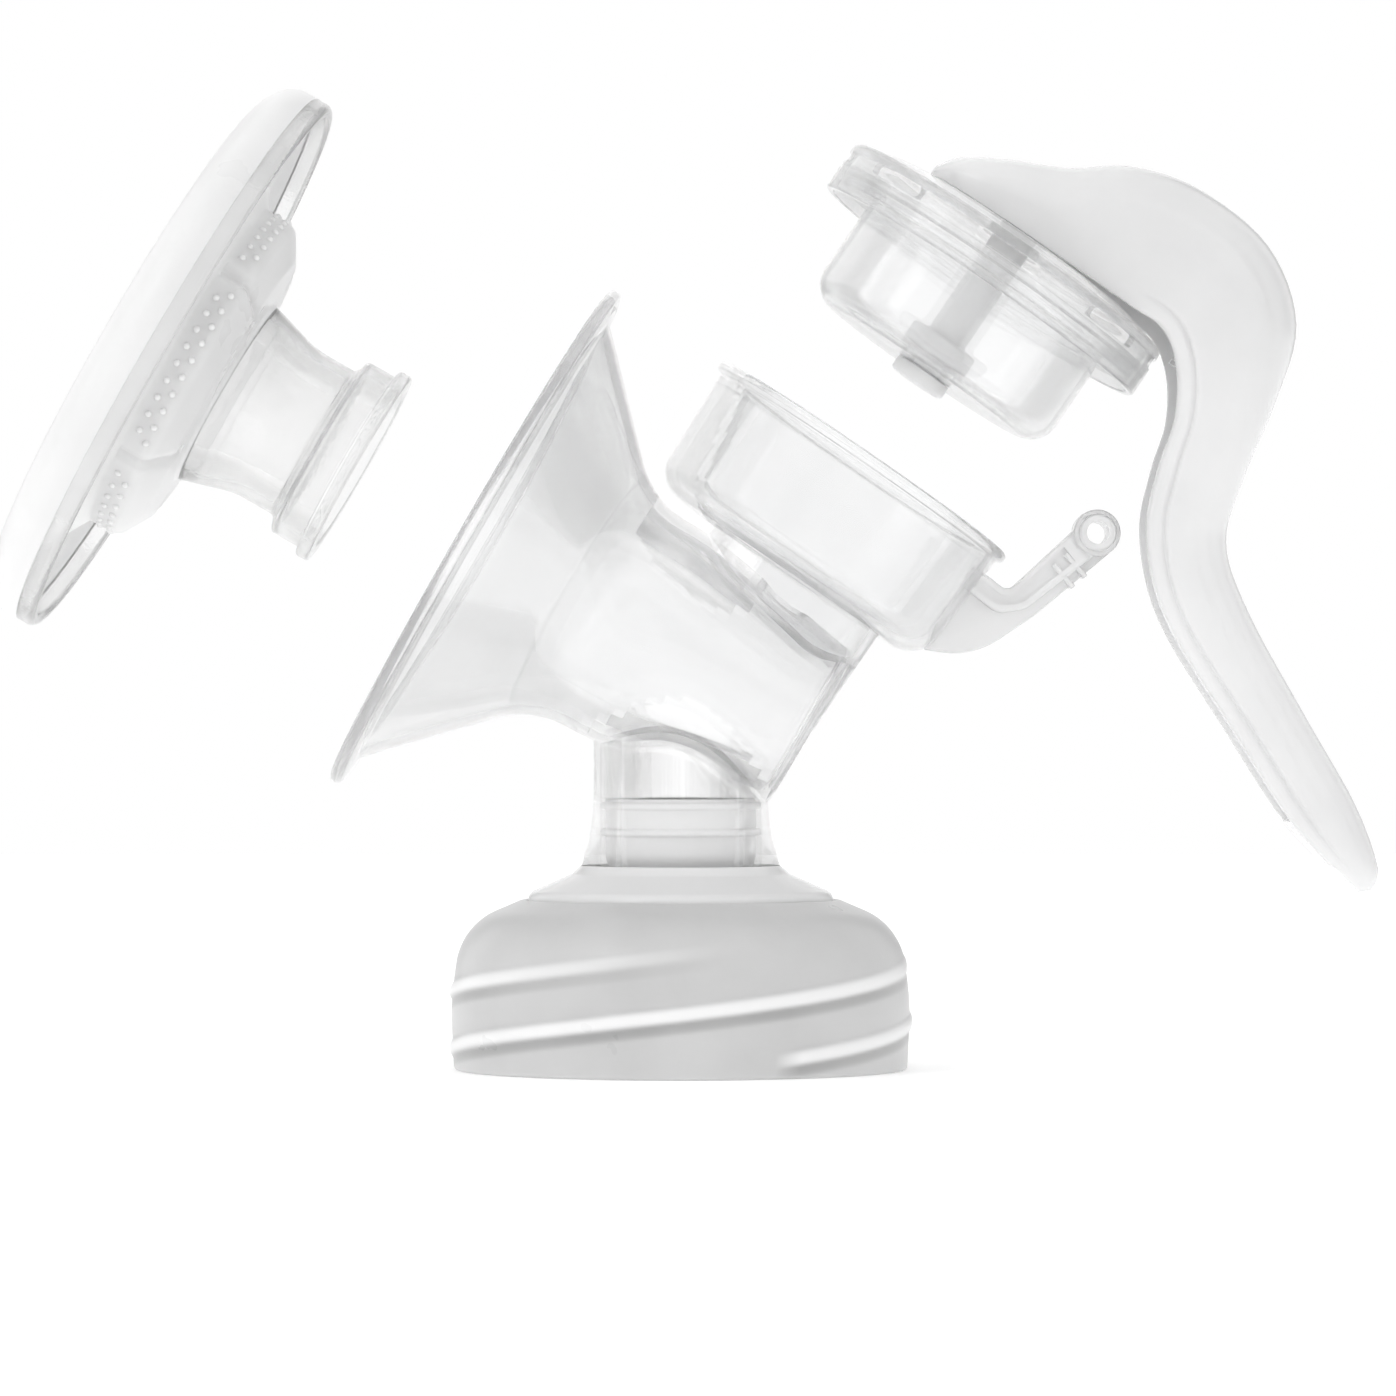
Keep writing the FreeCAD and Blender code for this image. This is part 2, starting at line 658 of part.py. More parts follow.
# ---------------------------------------------------------------- handle


def handle_stations(first, last):
    """Evenly spaced stations on smooth curves through the sections, from one section number to another."""
    numbers = [float(i) for i in range(len(HANDLE_SECTIONS))]
    back = Part.BSplineCurve()
    back_points = [FreeCAD.Vector(x, half, z) for x, z, _, _, half in HANDLE_SECTIONS]
    back.interpolate(back_points, Parameters=numbers)
    edge = Part.BSplineCurve()
    edge_points = [FreeCAD.Vector(x, 0, z) for _, _, x, z, _ in HANDLE_SECTIONS]
    edge.interpolate(edge_points, Parameters=numbers)
    steps = range(first * SECTION_STEPS, last * SECTION_STEPS + 1)
    return [(back.value(step / SECTION_STEPS), edge.value(step / SECTION_STEPS)) for step in steps]


def handle_section(back_point, edge_point, wall):
    """Closed section across the handle: a back with rounded corners, two sides and an open edge."""
    outer = FreeCAD.Vector(back_point.x, 0, back_point.z)
    inwards = (edge_point - outer).normalize()
    half = back_point.y - wall
    back = outer + inwards * wall
    edge = edge_point + inwards * wall
    corner = min(half, (edge - back).Length) * CORNER_SHARE
    side = WIDTH_AXIS * half
    shift = WIDTH_AXIS * corner
    drop = inwards * corner
    chord = corner * (1 - math.sqrt(0.5))
    bend = [back + side * sign + (inwards - WIDTH_AXIS * sign) * chord for sign in (-1, 1)]
    edges = [
        Part.LineSegment(edge - side, back - side + drop),
        Part.Arc(back - side + drop, bend[0], back - side + shift),
        Part.LineSegment(back - side + shift, back + side - shift),
        Part.Arc(back + side - shift, bend[1], back + side + drop),
        Part.LineSegment(back + side + drop, edge + side),
        Part.LineSegment(edge + side, edge - side),
    ]
    return Part.Wire([item.toShape() for item in edges])


def handle_volume(wall, first, last):
    sections = [handle_section(back, edge, wall) for back, edge in handle_stations(first, last)]
    return Part.makeLoft(sections, True, False)


def solid_feature(label, shape):
    feature = doc.addObject("Part::Feature", label)
    feature.Label = label
    feature.Shape = shape
    return feature


def handle_parts():
    wall = value("shell_wall")
    last = len(HANDLE_SECTIONS) - 1
    outer = handle_volume(0.0, 0, last)
    cavity = handle_volume(wall, 1, last - 2)
    shell = solid_feature("handle_shell", outer.cut(cavity))
    room = cavity.common(outer)
    hooks = cheek_plates("pivot_hooks", hook_outline(), "hook_inner_y", "hook_outer_y", room)
    clip = cheek_plates("stem_clip", clip_outline(), "clip_inner_y", "clip_outer_y", room)
    return [shell, hooks, clip]


def cheek_plates(label, face, inner_y, outer_y, room):
    """A pair of equal plates either side of the middle, trimmed to the room inside the handle."""
    low = value(inner_y)
    thick = value(outer_y) - low
    plates = []
    for start in (low, -low - thick):
        plate = face.copy()
        plate.translate(FreeCAD.Vector(0, start, 0))
        plate = plate.extrude(FreeCAD.Vector(0, thick, 0))
        plate.Placement = LID.multiply(plate.Placement)
        plates.append(plate.common(room))
    return solid_feature(label, Part.Compound(plates))


def flat_face(points):
    wire = Part.makePolygon([FreeCAD.Vector(x, 0, z) for x, z in points + points[:1]])
    return Part.Face(wire)


def hook_outline():
    """Plate with a slot that drops over the pivot pin, open away from the lid's axis."""
    x = value("pivot_q")
    z = value("pivot_h")
    half = value("hook_half")
    leg = z - value("hook_leg")
    bore = value("hook_bore")
    top = z + value("plate_reach")
    plate = flat_face([(x - half, leg), (x + half, leg), (x + half, top), (x - half, top)])
    slot = flat_face([(x - bore, leg - 1), (x + bore, leg - 1), (x + bore, z), (x - bore, z)])
    seat = Part.Face(Part.Wire(Part.Circle(FreeCAD.Vector(x, 0, z), WIDTH_AXIS, bore).toShape()))
    return plate.cut(slot.fuse(seat))


def clip_outline():
    """Plate with the level slot that carries the stem's cross pin."""
    near = value("slot_near")
    far = value("slot_far")
    radius = value("slot_radius")
    z = value("cross_z")
    rim = radius + value("slot_rim")
    low = z - rim
    top = z + value("plate_reach")
    plate = flat_face([(far - rim, low), (near + rim, low), (near + rim, top), (far - rim, top)])
    slot = flat_face([(far, z - radius), (near, z - radius), (near, z + radius), (far, z + radius)])
    for x in (near, far):
        end = Part.Wire(Part.Circle(FreeCAD.Vector(x, 0, z), WIDTH_AXIS, radius).toShape())
        slot = slot.fuse(Part.Face(end))
    return plate.cut(slot)


# ---------------------------------------------------------------- massage cushion


def cushion_rim():
    """Outer ring and the dished front skin."""
    return turned("cushion_rim", [
        ("rim_outer", "0 - rim_back", "1"),
        ("rim_outer", "3.5 - disc_front", "2"),
        ("disc_edge_radius", "0 - disc_front", "3"),
        ("mouth_radius", "0 - mouth_front", "1"),
        ("mouth_radius", "0 - bell_end"),
        ("bell_radius", "0 - bell_end"),
        ("disc_edge_radius", "skin - disc_front + 0.4", "2"),
        ("rim_inner", "5.4 - disc_front", "1"),
        ("rim_inner", "0 - rim_back", "0.9"),
    ], CUSHION)


def massage_pad():
    return turned("massage_pad", [
        ("bell_radius + 0.1", "0 - bell_end + 0.5"),
        ("pad_heel_radius", "0 - pad_back"),
        ("pad_radius", "0 - pad_side", "2.4"),
        ("pad_radius", "0 - pad_front"),
        ("bell_radius + 0.1", "0 - bell_end - 0.1"),
    ], CUSHION)


def cushion_neck():
    return turned("cushion_neck", [
        ("waist_radius", "0 - cuff_length"),
        ("waist_radius - soft_wall", "0 - cuff_length"),
        ("waist_radius - soft_wall", "0 - waist_end", "12"),
        ("bell_radius - soft_wall", "0 - bell_end"),
        ("bell_radius", "0 - bell_end"),
        ("waist_radius", "0 - waist_end", "12"),
    ], CUSHION)


def cushion_cuff():
    return turned("cushion_cuff", [
        ("cuff_flange_radius", "0", "0.6"),
        ("cuff_flange_radius", "0 - cuff_flange", "0.6"),
        ("cuff_radius", "0 - cuff_flange"),
        ("cuff_radius", "0.8 - cuff_length", "0.8"),
        ("waist_radius", "0 - cuff_length"),
        ("waist_radius - soft_wall", "0 - cuff_length"),
        ("cuff_radius - soft_wall - 0.6", "1.6 - cuff_length", "0.6"),
        ("cuff_radius - soft_wall", "0"),
    ], CUSHION)


# ---------------------------------------------------------------- assembly and export


def build_parts():
    envelope = horn_envelope()
    cup_volume = pump_cup_body("cup_volume", solid=True)
    parts = [
        funnel_horn(),
        tunnel_tube(),
        valve_neck(envelope),
        neck_base(),
        valve_spout(envelope),
        duckbill_valve(),
        pump_cup_body("pump_cup", solid=False),
        cup_seat(envelope),
        pivot_arm(cup_volume),
        arm_web(cup_volume),
        screw_collar(),
        collar_thread(),
        grip_swirls(),
        lid_cover(),
        clamp_ring(),
        diaphragm_rim(),
        diaphragm(),
        stem_foot(),
        stem_shaft(),
        stem_head(),
        cushion_rim(),
        massage_pad(),
        cushion_neck(),
        cushion_cuff(),
    ]
    return parts + handle_parts()


def check(parts):
    for item in doc.Objects:
        if "Invalid" in item.State or "Error" in item.State:
            raise RuntimeError(item.Name + " did not build")
    for part in parts:
        if part.Shape.isNull() or not part.Shape.isValid():
            raise RuntimeError(part.Label + " has no valid shape")
        box = part.Shape.BoundBox
        print(f"{part.Label:16s} solids {len(part.Shape.Solids)} volume {part.Shape.Volume:9.1f} "
              f"x {box.XMin:7.2f} {box.XMax:7.2f} y {box.YMax:6.2f} z {box.ZMin:7.2f} {box.ZMax:7.2f}")


def export(parts):
    os.makedirs("parts", exist_ok=True)
    for part in parts:
        part.Shape.exportStep(os.path.join("parts", part.Label + ".step"))


PARTS = build_parts()
doc.recompute()
check(PARTS)
export(PARTS)
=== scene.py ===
import json
import math

import bmesh
import bpy
from mathutils import Matrix, Vector


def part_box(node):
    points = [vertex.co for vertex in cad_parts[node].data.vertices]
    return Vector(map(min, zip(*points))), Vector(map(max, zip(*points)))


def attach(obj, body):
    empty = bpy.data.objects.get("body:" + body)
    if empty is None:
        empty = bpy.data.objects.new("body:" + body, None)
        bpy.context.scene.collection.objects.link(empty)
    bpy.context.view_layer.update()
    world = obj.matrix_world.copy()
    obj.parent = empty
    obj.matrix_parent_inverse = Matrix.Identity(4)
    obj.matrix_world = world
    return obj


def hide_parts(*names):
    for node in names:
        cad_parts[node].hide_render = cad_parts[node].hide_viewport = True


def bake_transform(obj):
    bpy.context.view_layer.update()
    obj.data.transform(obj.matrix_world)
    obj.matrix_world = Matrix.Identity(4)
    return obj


# Manual breast pump, drawn apart. Lengths are millimetres in the frame of the piece, and are scaled once,
# when a mesh is made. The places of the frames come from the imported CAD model.

MM = 0.001
WIDTH = Vector((0, 1, 0))

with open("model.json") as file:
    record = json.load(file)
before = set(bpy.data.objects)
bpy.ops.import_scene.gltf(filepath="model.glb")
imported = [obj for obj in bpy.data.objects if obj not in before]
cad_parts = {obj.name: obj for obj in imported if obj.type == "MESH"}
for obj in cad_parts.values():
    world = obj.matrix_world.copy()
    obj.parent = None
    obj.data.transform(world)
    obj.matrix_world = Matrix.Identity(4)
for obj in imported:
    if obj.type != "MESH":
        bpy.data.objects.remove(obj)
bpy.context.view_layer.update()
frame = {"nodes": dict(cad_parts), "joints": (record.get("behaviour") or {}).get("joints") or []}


# ---------------------------------------------------------------- frames


def joint(name):
    return [item for item in frame["joints"] if item["name"] == name][0]


def axis_frame(node, axis, end):
    """Frame with Z along the axis and its origin on the axis of a round node, at its low or high end."""
    axis = Vector(axis).normalized()
    side = WIDTH.cross(axis)
    points = [vertex.co for vertex in frame["nodes"][node].data.vertices]
    across = [point.dot(side) for point in points]
    along = [point.dot(axis) for point in points]
    height = min(along) if end == "low" else max(along)
    origin = side * ((min(across) + max(across)) / 2) + axis * height
    return Matrix.Translation(origin) @ Matrix((side, WIDTH, axis)).transposed().to_4x4()


FUNNEL_AXIS = Vector(joint("cushion_slide")["axis"])
CUP_AXIS = -Vector(joint("lid_slide")["axis"])
LIP_FRONT = 1.0
RIM_GAP = 1.2
FUNNEL = axis_frame("funnel_horn", FUNNEL_AXIS, "low") @ Matrix.Translation((0, 0, LIP_FRONT * MM))
CUSHION = axis_frame("cushion_cuff", FUNNEL_AXIS, "high")
CUP = axis_frame("pump_cup", CUP_AXIS, "high")
LID = axis_frame("diaphragm_rim", CUP_AXIS, "low") @ Matrix.Translation((0, 0, -RIM_GAP * MM))
WORLD = Matrix.Identity(4)
TO_FUNNEL = FUNNEL.inverted()


# ---------------------------------------------------------------- mesh tools


def rounded(corners, closed=True, step=12):
    """Points of an outline given as corners (a, b) or (a, b, round)."""
    flat = [Vector(corner[:2]) for corner in corners]
    count = len(flat)
    points = []
    for i, corner in enumerate(corners):
        ends = not closed and i in (0, count - 1)
        if len(corner) < 3 or ends:
            points.append(flat[i])
            continue
        back = (flat[i - 1] - flat[i]).normalized()
        ahead = (flat[(i + 1) % count] - flat[i]).normalized()
        half = back.angle(ahead) / 2
        reach = corner[2] / math.tan(half)
        centre = flat[i] + (back + ahead).normalized() * (corner[2] / math.sin(half))
        start = flat[i] + back * reach - centre
        turn = math.pi - 2 * half
        sign = -1 if back.cross(ahead) > 0 else 1
        pieces = max(2, math.ceil(math.degrees(turn) / step))
        for k in range(pieces + 1):
            angle = sign * turn * k / pieces
            cos, sin = math.cos(angle), math.sin(angle)
            points.append(centre + Vector((start.x * cos - start.y * sin, start.x * sin + start.y * cos)))
    return points


def refined(points, longest, closed=True):
    """The outline with its long sides divided so that no side is longer than the given length."""
    result = []
    for i, point in enumerate(points):
        result.append(point)
        if i == len(points) - 1 and not closed:
            break
        following = points[(i + 1) % len(points)]
        pieces = math.ceil((following - point).length / longest)
        result += [point.lerp(following, k / pieces) for k in range(1, pieces)]
    return result


def smooth(mesh, sharp):
    """Shades the mesh smooth, apart from edges that turn by more than the given degrees."""
    for polygon in mesh.polygons:
        polygon.use_smooth = True
    mesh.set_sharp_from_angle(angle=math.radians(sharp))


def place_mesh(name, mesh):
    piece = bpy.data.objects.new(name, mesh)
    bpy.context.scene.collection.objects.link(piece)
    return piece


def new_piece(name, vertices, faces, place, sharp=35):
    mesh = bpy.data.meshes.new(name)
    mesh.from_pydata([place @ (Vector(v) * MM) for v in vertices], [], faces)
    tool = bmesh.new()
    tool.from_mesh(mesh)
    bmesh.ops.remove_doubles(tool, verts=tool.verts, dist=1e-6)
    bmesh.ops.recalc_face_normals(tool, faces=tool.faces)
    tool.to_mesh(mesh)
    tool.free()
    smooth(mesh, sharp)
    return place_mesh(name, mesh)


def loops_to_faces(rows, columns, close_rows=True):
    """Quads of a grid whose columns run round, and whose rows close too if asked."""
    faces = []
    for row in range(rows if close_rows else rows - 1):
        following = (row + 1) % rows
        for column in range(columns):
            ahead = (column + 1) % columns
            faces.append((row * columns + column, row * columns + ahead,
                          following * columns + ahead, following * columns + column))
    return faces


def lathe(name, outline, place, segments=160, shape=None, closed=True, sharp=35):
    """Outline of (radius, height) turned about local Z. shape(radius, height, angle) may move each point."""
    vertices = []
    for radius, height in outline:
        for k in range(segments):
            angle = 2 * math.pi * k / segments
            r, z = (radius, height) if shape is None else shape(radius, height, angle)
            vertices.append((r * math.cos(angle), r * math.sin(angle), z))
    return new_piece(name, vertices, loops_to_faces(len(outline), segments, closed), place, sharp)


def prism(name, outline, half_width, place=WORLD, bevel=0.35):
    """Outline in local X and Z, extruded both ways along Y, with rounded edges."""
    count = len(outline)
    vertices = [(p.x, side, p.y) for side in (-half_width, half_width) for p in outline]
    faces = [tuple(range(count)), tuple(range(2 * count - 1, count - 1, -1))]
    faces += [(i, (i + 1) % count, count + (i + 1) % count, count + i) for i in range(count)]
    piece = new_piece(name, vertices, faces, place)
    if bevel:
        apply_modifier(piece, "BEVEL", width=bevel * MM, segments=3, limit_method="ANGLE")
    return piece


def apply_modifier(piece, kind, **settings):
    modifier = piece.modifiers.new(kind.title(), kind)
    for key, value in settings.items():
        setattr(modifier, key, value)
    graph = bpy.context.evaluated_depsgraph_get()
    mesh = bpy.data.meshes.new_from_object(piece.evaluated_get(graph))
    piece.modifiers.clear()
    piece.data = mesh


def combine(piece, tools, operation, sharp=35):
    """Boolean of a piece with other objects, which are used up."""
    for tool in tools:
        apply_modifier(piece, "BOOLEAN", object=tool, operation=operation, solver="EXACT")
        bpy.data.objects.remove(tool)
    smooth(piece.data, sharp)


def finish_piece(piece, body, slot, finish, *nodes):
    piece.data.materials.clear()
    piece.data.materials.append(finish)
    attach(piece, body)
    if nodes:
        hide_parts(*nodes)
    return piece


# ---------------------------------------------------------------- materials


def new_material(name):
    material = bpy.data.materials.new(name)
    material.use_nodes = True
    nodes = material.node_tree.nodes
    return material, nodes, material.node_tree.links, nodes["Principled BSDF"]


def grey(low, high):
    """Two neutral colours."""
    return [(value, value, value) for value in (low, high)]


def cool(low, high):
    """Two near-neutral colours, a trace bluer than grey."""
    return [(value, value, value + 0.002) for value in (low, high)]


def textured(parts, scale, colours, roughness, bump):
    """Procedural variation of colour and roughness, and fine relief, from two noises in object space."""
    _, nodes, links, shader = parts
    place = nodes.new("ShaderNodeTexCoord")
    noise = nodes.new("ShaderNodeTexNoise")
    noise.inputs["Scale"].default_value = scale
    noise.inputs["Detail"].default_value = 4.0
    links.new(place.outputs["Object"], noise.inputs["Vector"])
    tint = nodes.new("ShaderNodeValToRGB")
    for element, position, colour in zip(tint.color_ramp.elements, (0.35, 0.65), colours):
        element.position = position
        element.color = (*colour, 1)
    links.new(noise.outputs["Fac"], tint.inputs["Fac"])
    links.new(tint.outputs["Color"], shader.inputs["Base Color"])
    gloss = nodes.new("ShaderNodeMapRange")
    gloss.inputs["To Min"].default_value = roughness[0]
    gloss.inputs["To Max"].default_value = roughness[1]
    links.new(noise.outputs["Fac"], gloss.inputs["Value"])
    links.new(gloss.outputs["Result"], shader.inputs["Roughness"])
    fine = nodes.new("ShaderNodeTexNoise")
    fine.inputs["Scale"].default_value = scale * bump[1]
    links.new(place.outputs["Object"], fine.inputs["Vector"])
    relief = nodes.new("ShaderNodeBump")
    relief.inputs["Strength"].default_value = bump[0]
    relief.inputs["Distance"].default_value = 0.0002
    links.new(fine.outputs["Fac"], relief.inputs["Height"])
    links.new(relief.outputs["Normal"], shader.inputs["Normal"])


def set_glow(shader, share, radius):
    """Light that spreads below the surface, over a radius in metres."""
    shader.inputs["Subsurface Weight"].default_value = share
    shader.inputs["Subsurface Radius"].default_value = (radius, radius, radius)
    shader.inputs["Subsurface Scale"].default_value = 1.0


def clear_material(name, colours, ior=1.38, rough=(0.0, 0.03), transmission=0.86, alpha=1.0):
    parts = new_material(name)
    shader = parts[3]
    shader.inputs["Alpha"].default_value = alpha
    shader.inputs["Transmission Weight"].default_value = transmission
    shader.inputs["IOR"].default_value = ior
    textured(parts, 45, colours, rough, (0.05, 2.0))
    return parts[0]


def white_material(name, colours, rough, subsurface=0.0, coat=0.0):
    parts = new_material(name)
    shader = parts[3]
    set_glow(shader, subsurface, 0.004)
    shader.inputs["Coat Weight"].default_value = coat
    shader.inputs["Coat Roughness"].default_value = 0.06
    shader.inputs["IOR"].default_value = 1.46
    textured(parts, 60, colours, rough, (0.04, 12.0))
    return parts[0]


def frosted_material(name, colours, rough, transmission, bump=(0.15, 30.0), subsurface=0.0, alpha=1.0):
    parts = new_material(name)
    shader = parts[3]
    set_glow(shader, subsurface, 0.006)
    shader.inputs["Alpha"].default_value = alpha
    shader.inputs["Transmission Weight"].default_value = transmission
    shader.inputs["IOR"].default_value = 1.45
    textured(parts, 50, colours, rough, bump)
    return parts[0]


# Colour attribute on the collar that holds painted light: a painted highlight on each swirl rib's crest and
# painted shade just below it.
SWIRL_PAINTED_LIGHT = "swirl"


def collar_material():
    """Frosted plastic, with a painted highlight along the crest of each swirl rib and painted shade just
    below it, from a colour attribute.
    """
    parts = new_material("frosted_collar")
    material, nodes, links, shader = parts
    set_glow(shader, 0.6, 0.003)
    shader.inputs["IOR"].default_value = 1.45
    textured(parts, 50, grey(0.61, 0.66), (0.24, 0.34), (0.12, 30.0))
    tint = shader.inputs["Base Color"].links[0].from_socket
    # The painted rib highlight and shade are soft-light blended over the frosted colour.
    swirl = nodes.new("ShaderNodeAttribute")
    swirl.attribute_name = SWIRL_PAINTED_LIGHT
    blend = nodes.new("ShaderNodeMix")
    blend.data_type = "RGBA"
    blend.blend_type = "SOFT_LIGHT"
    blend.inputs["Factor"].default_value = 1.0
    links.new(tint, blend.inputs["A"])
    links.new(swirl.outputs["Color"], blend.inputs["B"])
    links.new(blend.outputs["Result"], shader.inputs["Base Color"])
    return material


CLEAR = clear_material(
    "clear_plastic", [(0.955, 0.957, 0.96), (0.975, 0.976, 0.978)], transmission=0.88, alpha=0.82)
NECK_CLEAR = clear_material(
    "clear_neck", [(0.985, 0.985, 0.986), (0.995, 0.995, 0.996)], transmission=0.97, alpha=0.3)
MILKY = clear_material("milky_plastic", cool(0.96, 0.98), 1.4, (0.12, 0.2), 0.5)
PALE = clear_material("pale_plastic", cool(0.97, 0.99), 1.4, (0.12, 0.2), 0.22)
CLEAR_LID = clear_material(
    "clear_lid", [(0.965, 0.968, 0.97), (0.98, 0.981, 0.983)], 1.38, (0.02, 0.06), 0.9, 0.72)
CLEAR_SILICONE = clear_material(
    "clear_silicone", [(0.965, 0.967, 0.97), (0.982, 0.984, 0.986)], 1.41, (0.03, 0.09), 0.95, 0.68)
VALVE = white_material("white_silicone", grey(0.97, 0.99), (0.28, 0.42), 0.1)
SOFT = frosted_material("soft_silicone", grey(0.77, 0.81), (0.24, 0.34), 0.0, (0.10, 20.0), 1.0)
SOFT_CLEAR = frosted_material("soft_silicone_clear", grey(0.95, 0.98), (0.03, 0.10), 0.85, alpha=0.75)
FROSTED = frosted_material("frosted_plastic", grey(0.76, 0.81), (0.34, 0.46), 0.3)
COLLAR = collar_material()
WHITE = white_material("white_plastic", grey(0.97, 0.99), (0.25, 0.38), 0.3)
BUMPS = white_material("soft_silicone_bumps", grey(0.95, 0.98), (0.2, 0.3))
HANDLE = white_material("handle_plastic", cool(0.78, 0.82), (0.16, 0.26), 0.8, 0.4)


# ---------------------------------------------------------------- clear moulding

# Radius, height and round of the funnel's section, from the mouth into the pump.
FUNNEL_OUTER = [
    (42.5, -1.0, 0.85), (42.5, 0.9, 0.85), (37.5, 1.5, 1.5), (17.9, 20.2, 14), (17.9, 31.0, 40),
    (13.1, 58.0, 1.5), (0.0, 58.0),
]
FUNNEL_INNER = [
    (0.0, 56.5), (11.6, 56.5, 0.8), (16.4, 31.0, 38), (16.4, 19.5, 15.4), (37.6, -1.0, 1.5),
]
# The valve neck's base: down the outside from the neck's foot, then up the inside.
NECK_BASE = [
    (14.6, 32.0), (14.9, 30.6, 0.8), (16.4, 29.3, 2.5), (22.9, 26.4, 1.6), (22.9, 20.9, 0.3),
    (27.4, 20.9, 0.4), (27.4, 18.9, 0.4), (23.6, 18.9, 0.4), (21.2, 23.6, 3), (13.6, 28.0, 2),
    (12.2, 29.6, 1), (12.2, 33.0),
]
FUNNEL_END = 58.0
NECK_RADIUS = 13.1
NECK_BORE = 12.2
BASE_TOP = 30.6
BITE = 0.7
NECK_FLARE = 0.0125
NECK_STRAIGHT = 42.0
DRAIN_RADIUS = 8.4
DRAIN_SPAN = (38.0, 54.0)
SPOUT_RADIUS = 9.6
PORT_RADIUS = 4.5
PORT_SPAN = (-41.0, -18.0)
SEAT_SHIFT = 2.0
CUP_DEPTH = 21.0
NECK_ZONE = 15.5
ARM_START = 40.0
ARM_TOP = 84.0
EYE_RADIUS = 3.5


def funnel_radius(s):
    """Outer radius of the funnel's wall at distance s into the pump."""
    if s >= 31.0:
        return 17.9 - (s - 31.0) * 4.8 / 27.0
    return 17.9 if s > 22 else 17.9 + (22 - s) * 1.05


def outside_funnel(point):
    """How far a world point, in metres, lies outside the funnel's outer surface, in millimetres."""
    local = TO_FUNNEL @ point
    s = local.z / MM
    return max(math.hypot(local.x, local.y) / MM - funnel_radius(s), s - FUNNEL_END)


def reach_funnel(start, direction, farthest):
    """Distance along a line from outside the funnel to just inside its wall."""
    steps = 200
    low, high = farthest, farthest
    for k in range(1, steps + 1):
        high = farthest * k / steps
        if outside_funnel(start + direction * (high * MM)) < 0:
            low = farthest * (k - 1) / steps
            break
    for _ in range(20):
        middle = (low + high) / 2
        if outside_funnel(start + direction * (middle * MM)) < 0:
            high = middle
        else:
            low = middle
    return low + BITE


def tool_cylinder(radius, low, high, place, segments=96):
    corners = [Vector(corner) for corner in ((0.0, low), (radius, low), (radius, high), (0.0, high))]
    return lathe("tool", corners, place, segments)


def funnel():
    outline = refined(rounded(FUNNEL_OUTER + FUNNEL_INNER, step=6), 2.5)
    return lathe("clear_body", outline, FUNNEL, 180)


def standing_tube(radius_at, bore, foot, base, segments=160):
    """Tube about world Z from a foot outline up into the funnel's underside, as one closed mesh."""
    shares = [k / 10 for k in range(11)]
    vertices = []
    rings = 0
    for inside in (False, True):
        for share in reversed(shares) if inside else shares:
            for k in range(segments):
                angle = 2 * math.pi * k / segments
                radius = bore if inside else radius_at(base)
                start = Vector((radius * math.cos(angle), radius * math.sin(angle), base)) * MM
                z = base + share * reach_funnel(start, Vector((0, 0, 1)), 30.0)
                radius = bore if inside else radius_at(z)
                vertices.append((radius * math.cos(angle), radius * math.sin(angle), z))
            rings += 1
    for radius, height in reversed(foot):
        for k in range(segments):
            angle = 2 * math.pi * k / segments
            vertices.append((radius * math.cos(angle), radius * math.sin(angle), height))
        rings += 1
    return new_piece("tool", vertices, loops_to_faces(rings, segments), WORLD)


def neck_radius(z):
    """Outer radius of the valve neck, a gentle bell."""
    drop = max(0.0, NECK_STRAIGHT - z)
    return NECK_RADIUS + NECK_FLARE * drop * drop


def valve_neck():
    foot = [tuple(point) for point in rounded(NECK_BASE, closed=False, step=8)]
    return standing_tube(neck_radius, NECK_BORE, foot, 34.0)


def valve_spout():
    foot = [(SPOUT_RADIUS, 37.6), (9.3, 37.2), (8.9, 37.0), (DRAIN_RADIUS, 37.2), (DRAIN_RADIUS, 38.0)]
    return standing_tube(lambda z: SPOUT_RADIUS, DRAIN_RADIUS, foot, 38.5)


def diaphragm_cup():
    outline = refined(rounded([
        (26.0, 0.0, 0.8), (26.0, -1.7, 0.8), (25.0, -1.7, 0.3), (24.1, -CUP_DEPTH, 5), (0.0, -CUP_DEPTH),
        (0.0, -19.5), (22.6, -19.5, 3.6), (23.4, -1.9, 0.5), (24.0, 0.0, 0.5),
    ], step=6), 2.5)
    return lathe("tool", outline, CUP, 180)


def oval(half_length, half_width, corner):
    """Points of an oval with rounded ends."""
    signs = ((1, 1), (-1, 1), (-1, -1), (1, -1))
    return rounded([(x * half_length, y * half_width, corner) for x, y in signs], step=4)


def cup_seat():
    """Oval wall from inside the cup's floor down into the funnel's wall."""
    top = BITE - CUP_DEPTH
    shares = [k / 5 for k in range(6)]
    vertices = []
    for ring, order in ((oval(14.8, 10.5, 9.0), shares), (oval(13.3, 9.0, 7.5), shares[::-1])):
        for share in order:
            for point in ring:
                x = point.x + SEAT_SHIFT
                start = CUP @ (Vector((x, point.y, top)) * MM)
                vertices.append((x, point.y, top - share * reach_funnel(start, -CUP_AXIS, 30.0)))
    return new_piece("tool", vertices, loops_to_faces(2 * len(shares), len(ring)), CUP)


def outside_cup(point):
    """Whether a world point lies clear of the cup's wall."""
    local = CUP.inverted() @ point
    return math.hypot(local.x, local.y) > 26.2 * MM


def cup_filler():
    """Volume inside the middle of the cup's wall, which the arm is cut back to."""
    return lathe("tool", rounded([(0, 1), (24.4, 1), (23.5, -20.4, 4.4), (0, -20.4)]), CUP, 160)


def arm_eye():
    """X and z of the pivot eye's centre."""
    _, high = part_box("pivot_arm")
    return Vector((high.x / MM - EYE_RADIUS, high.z / MM - EYE_RADIUS))


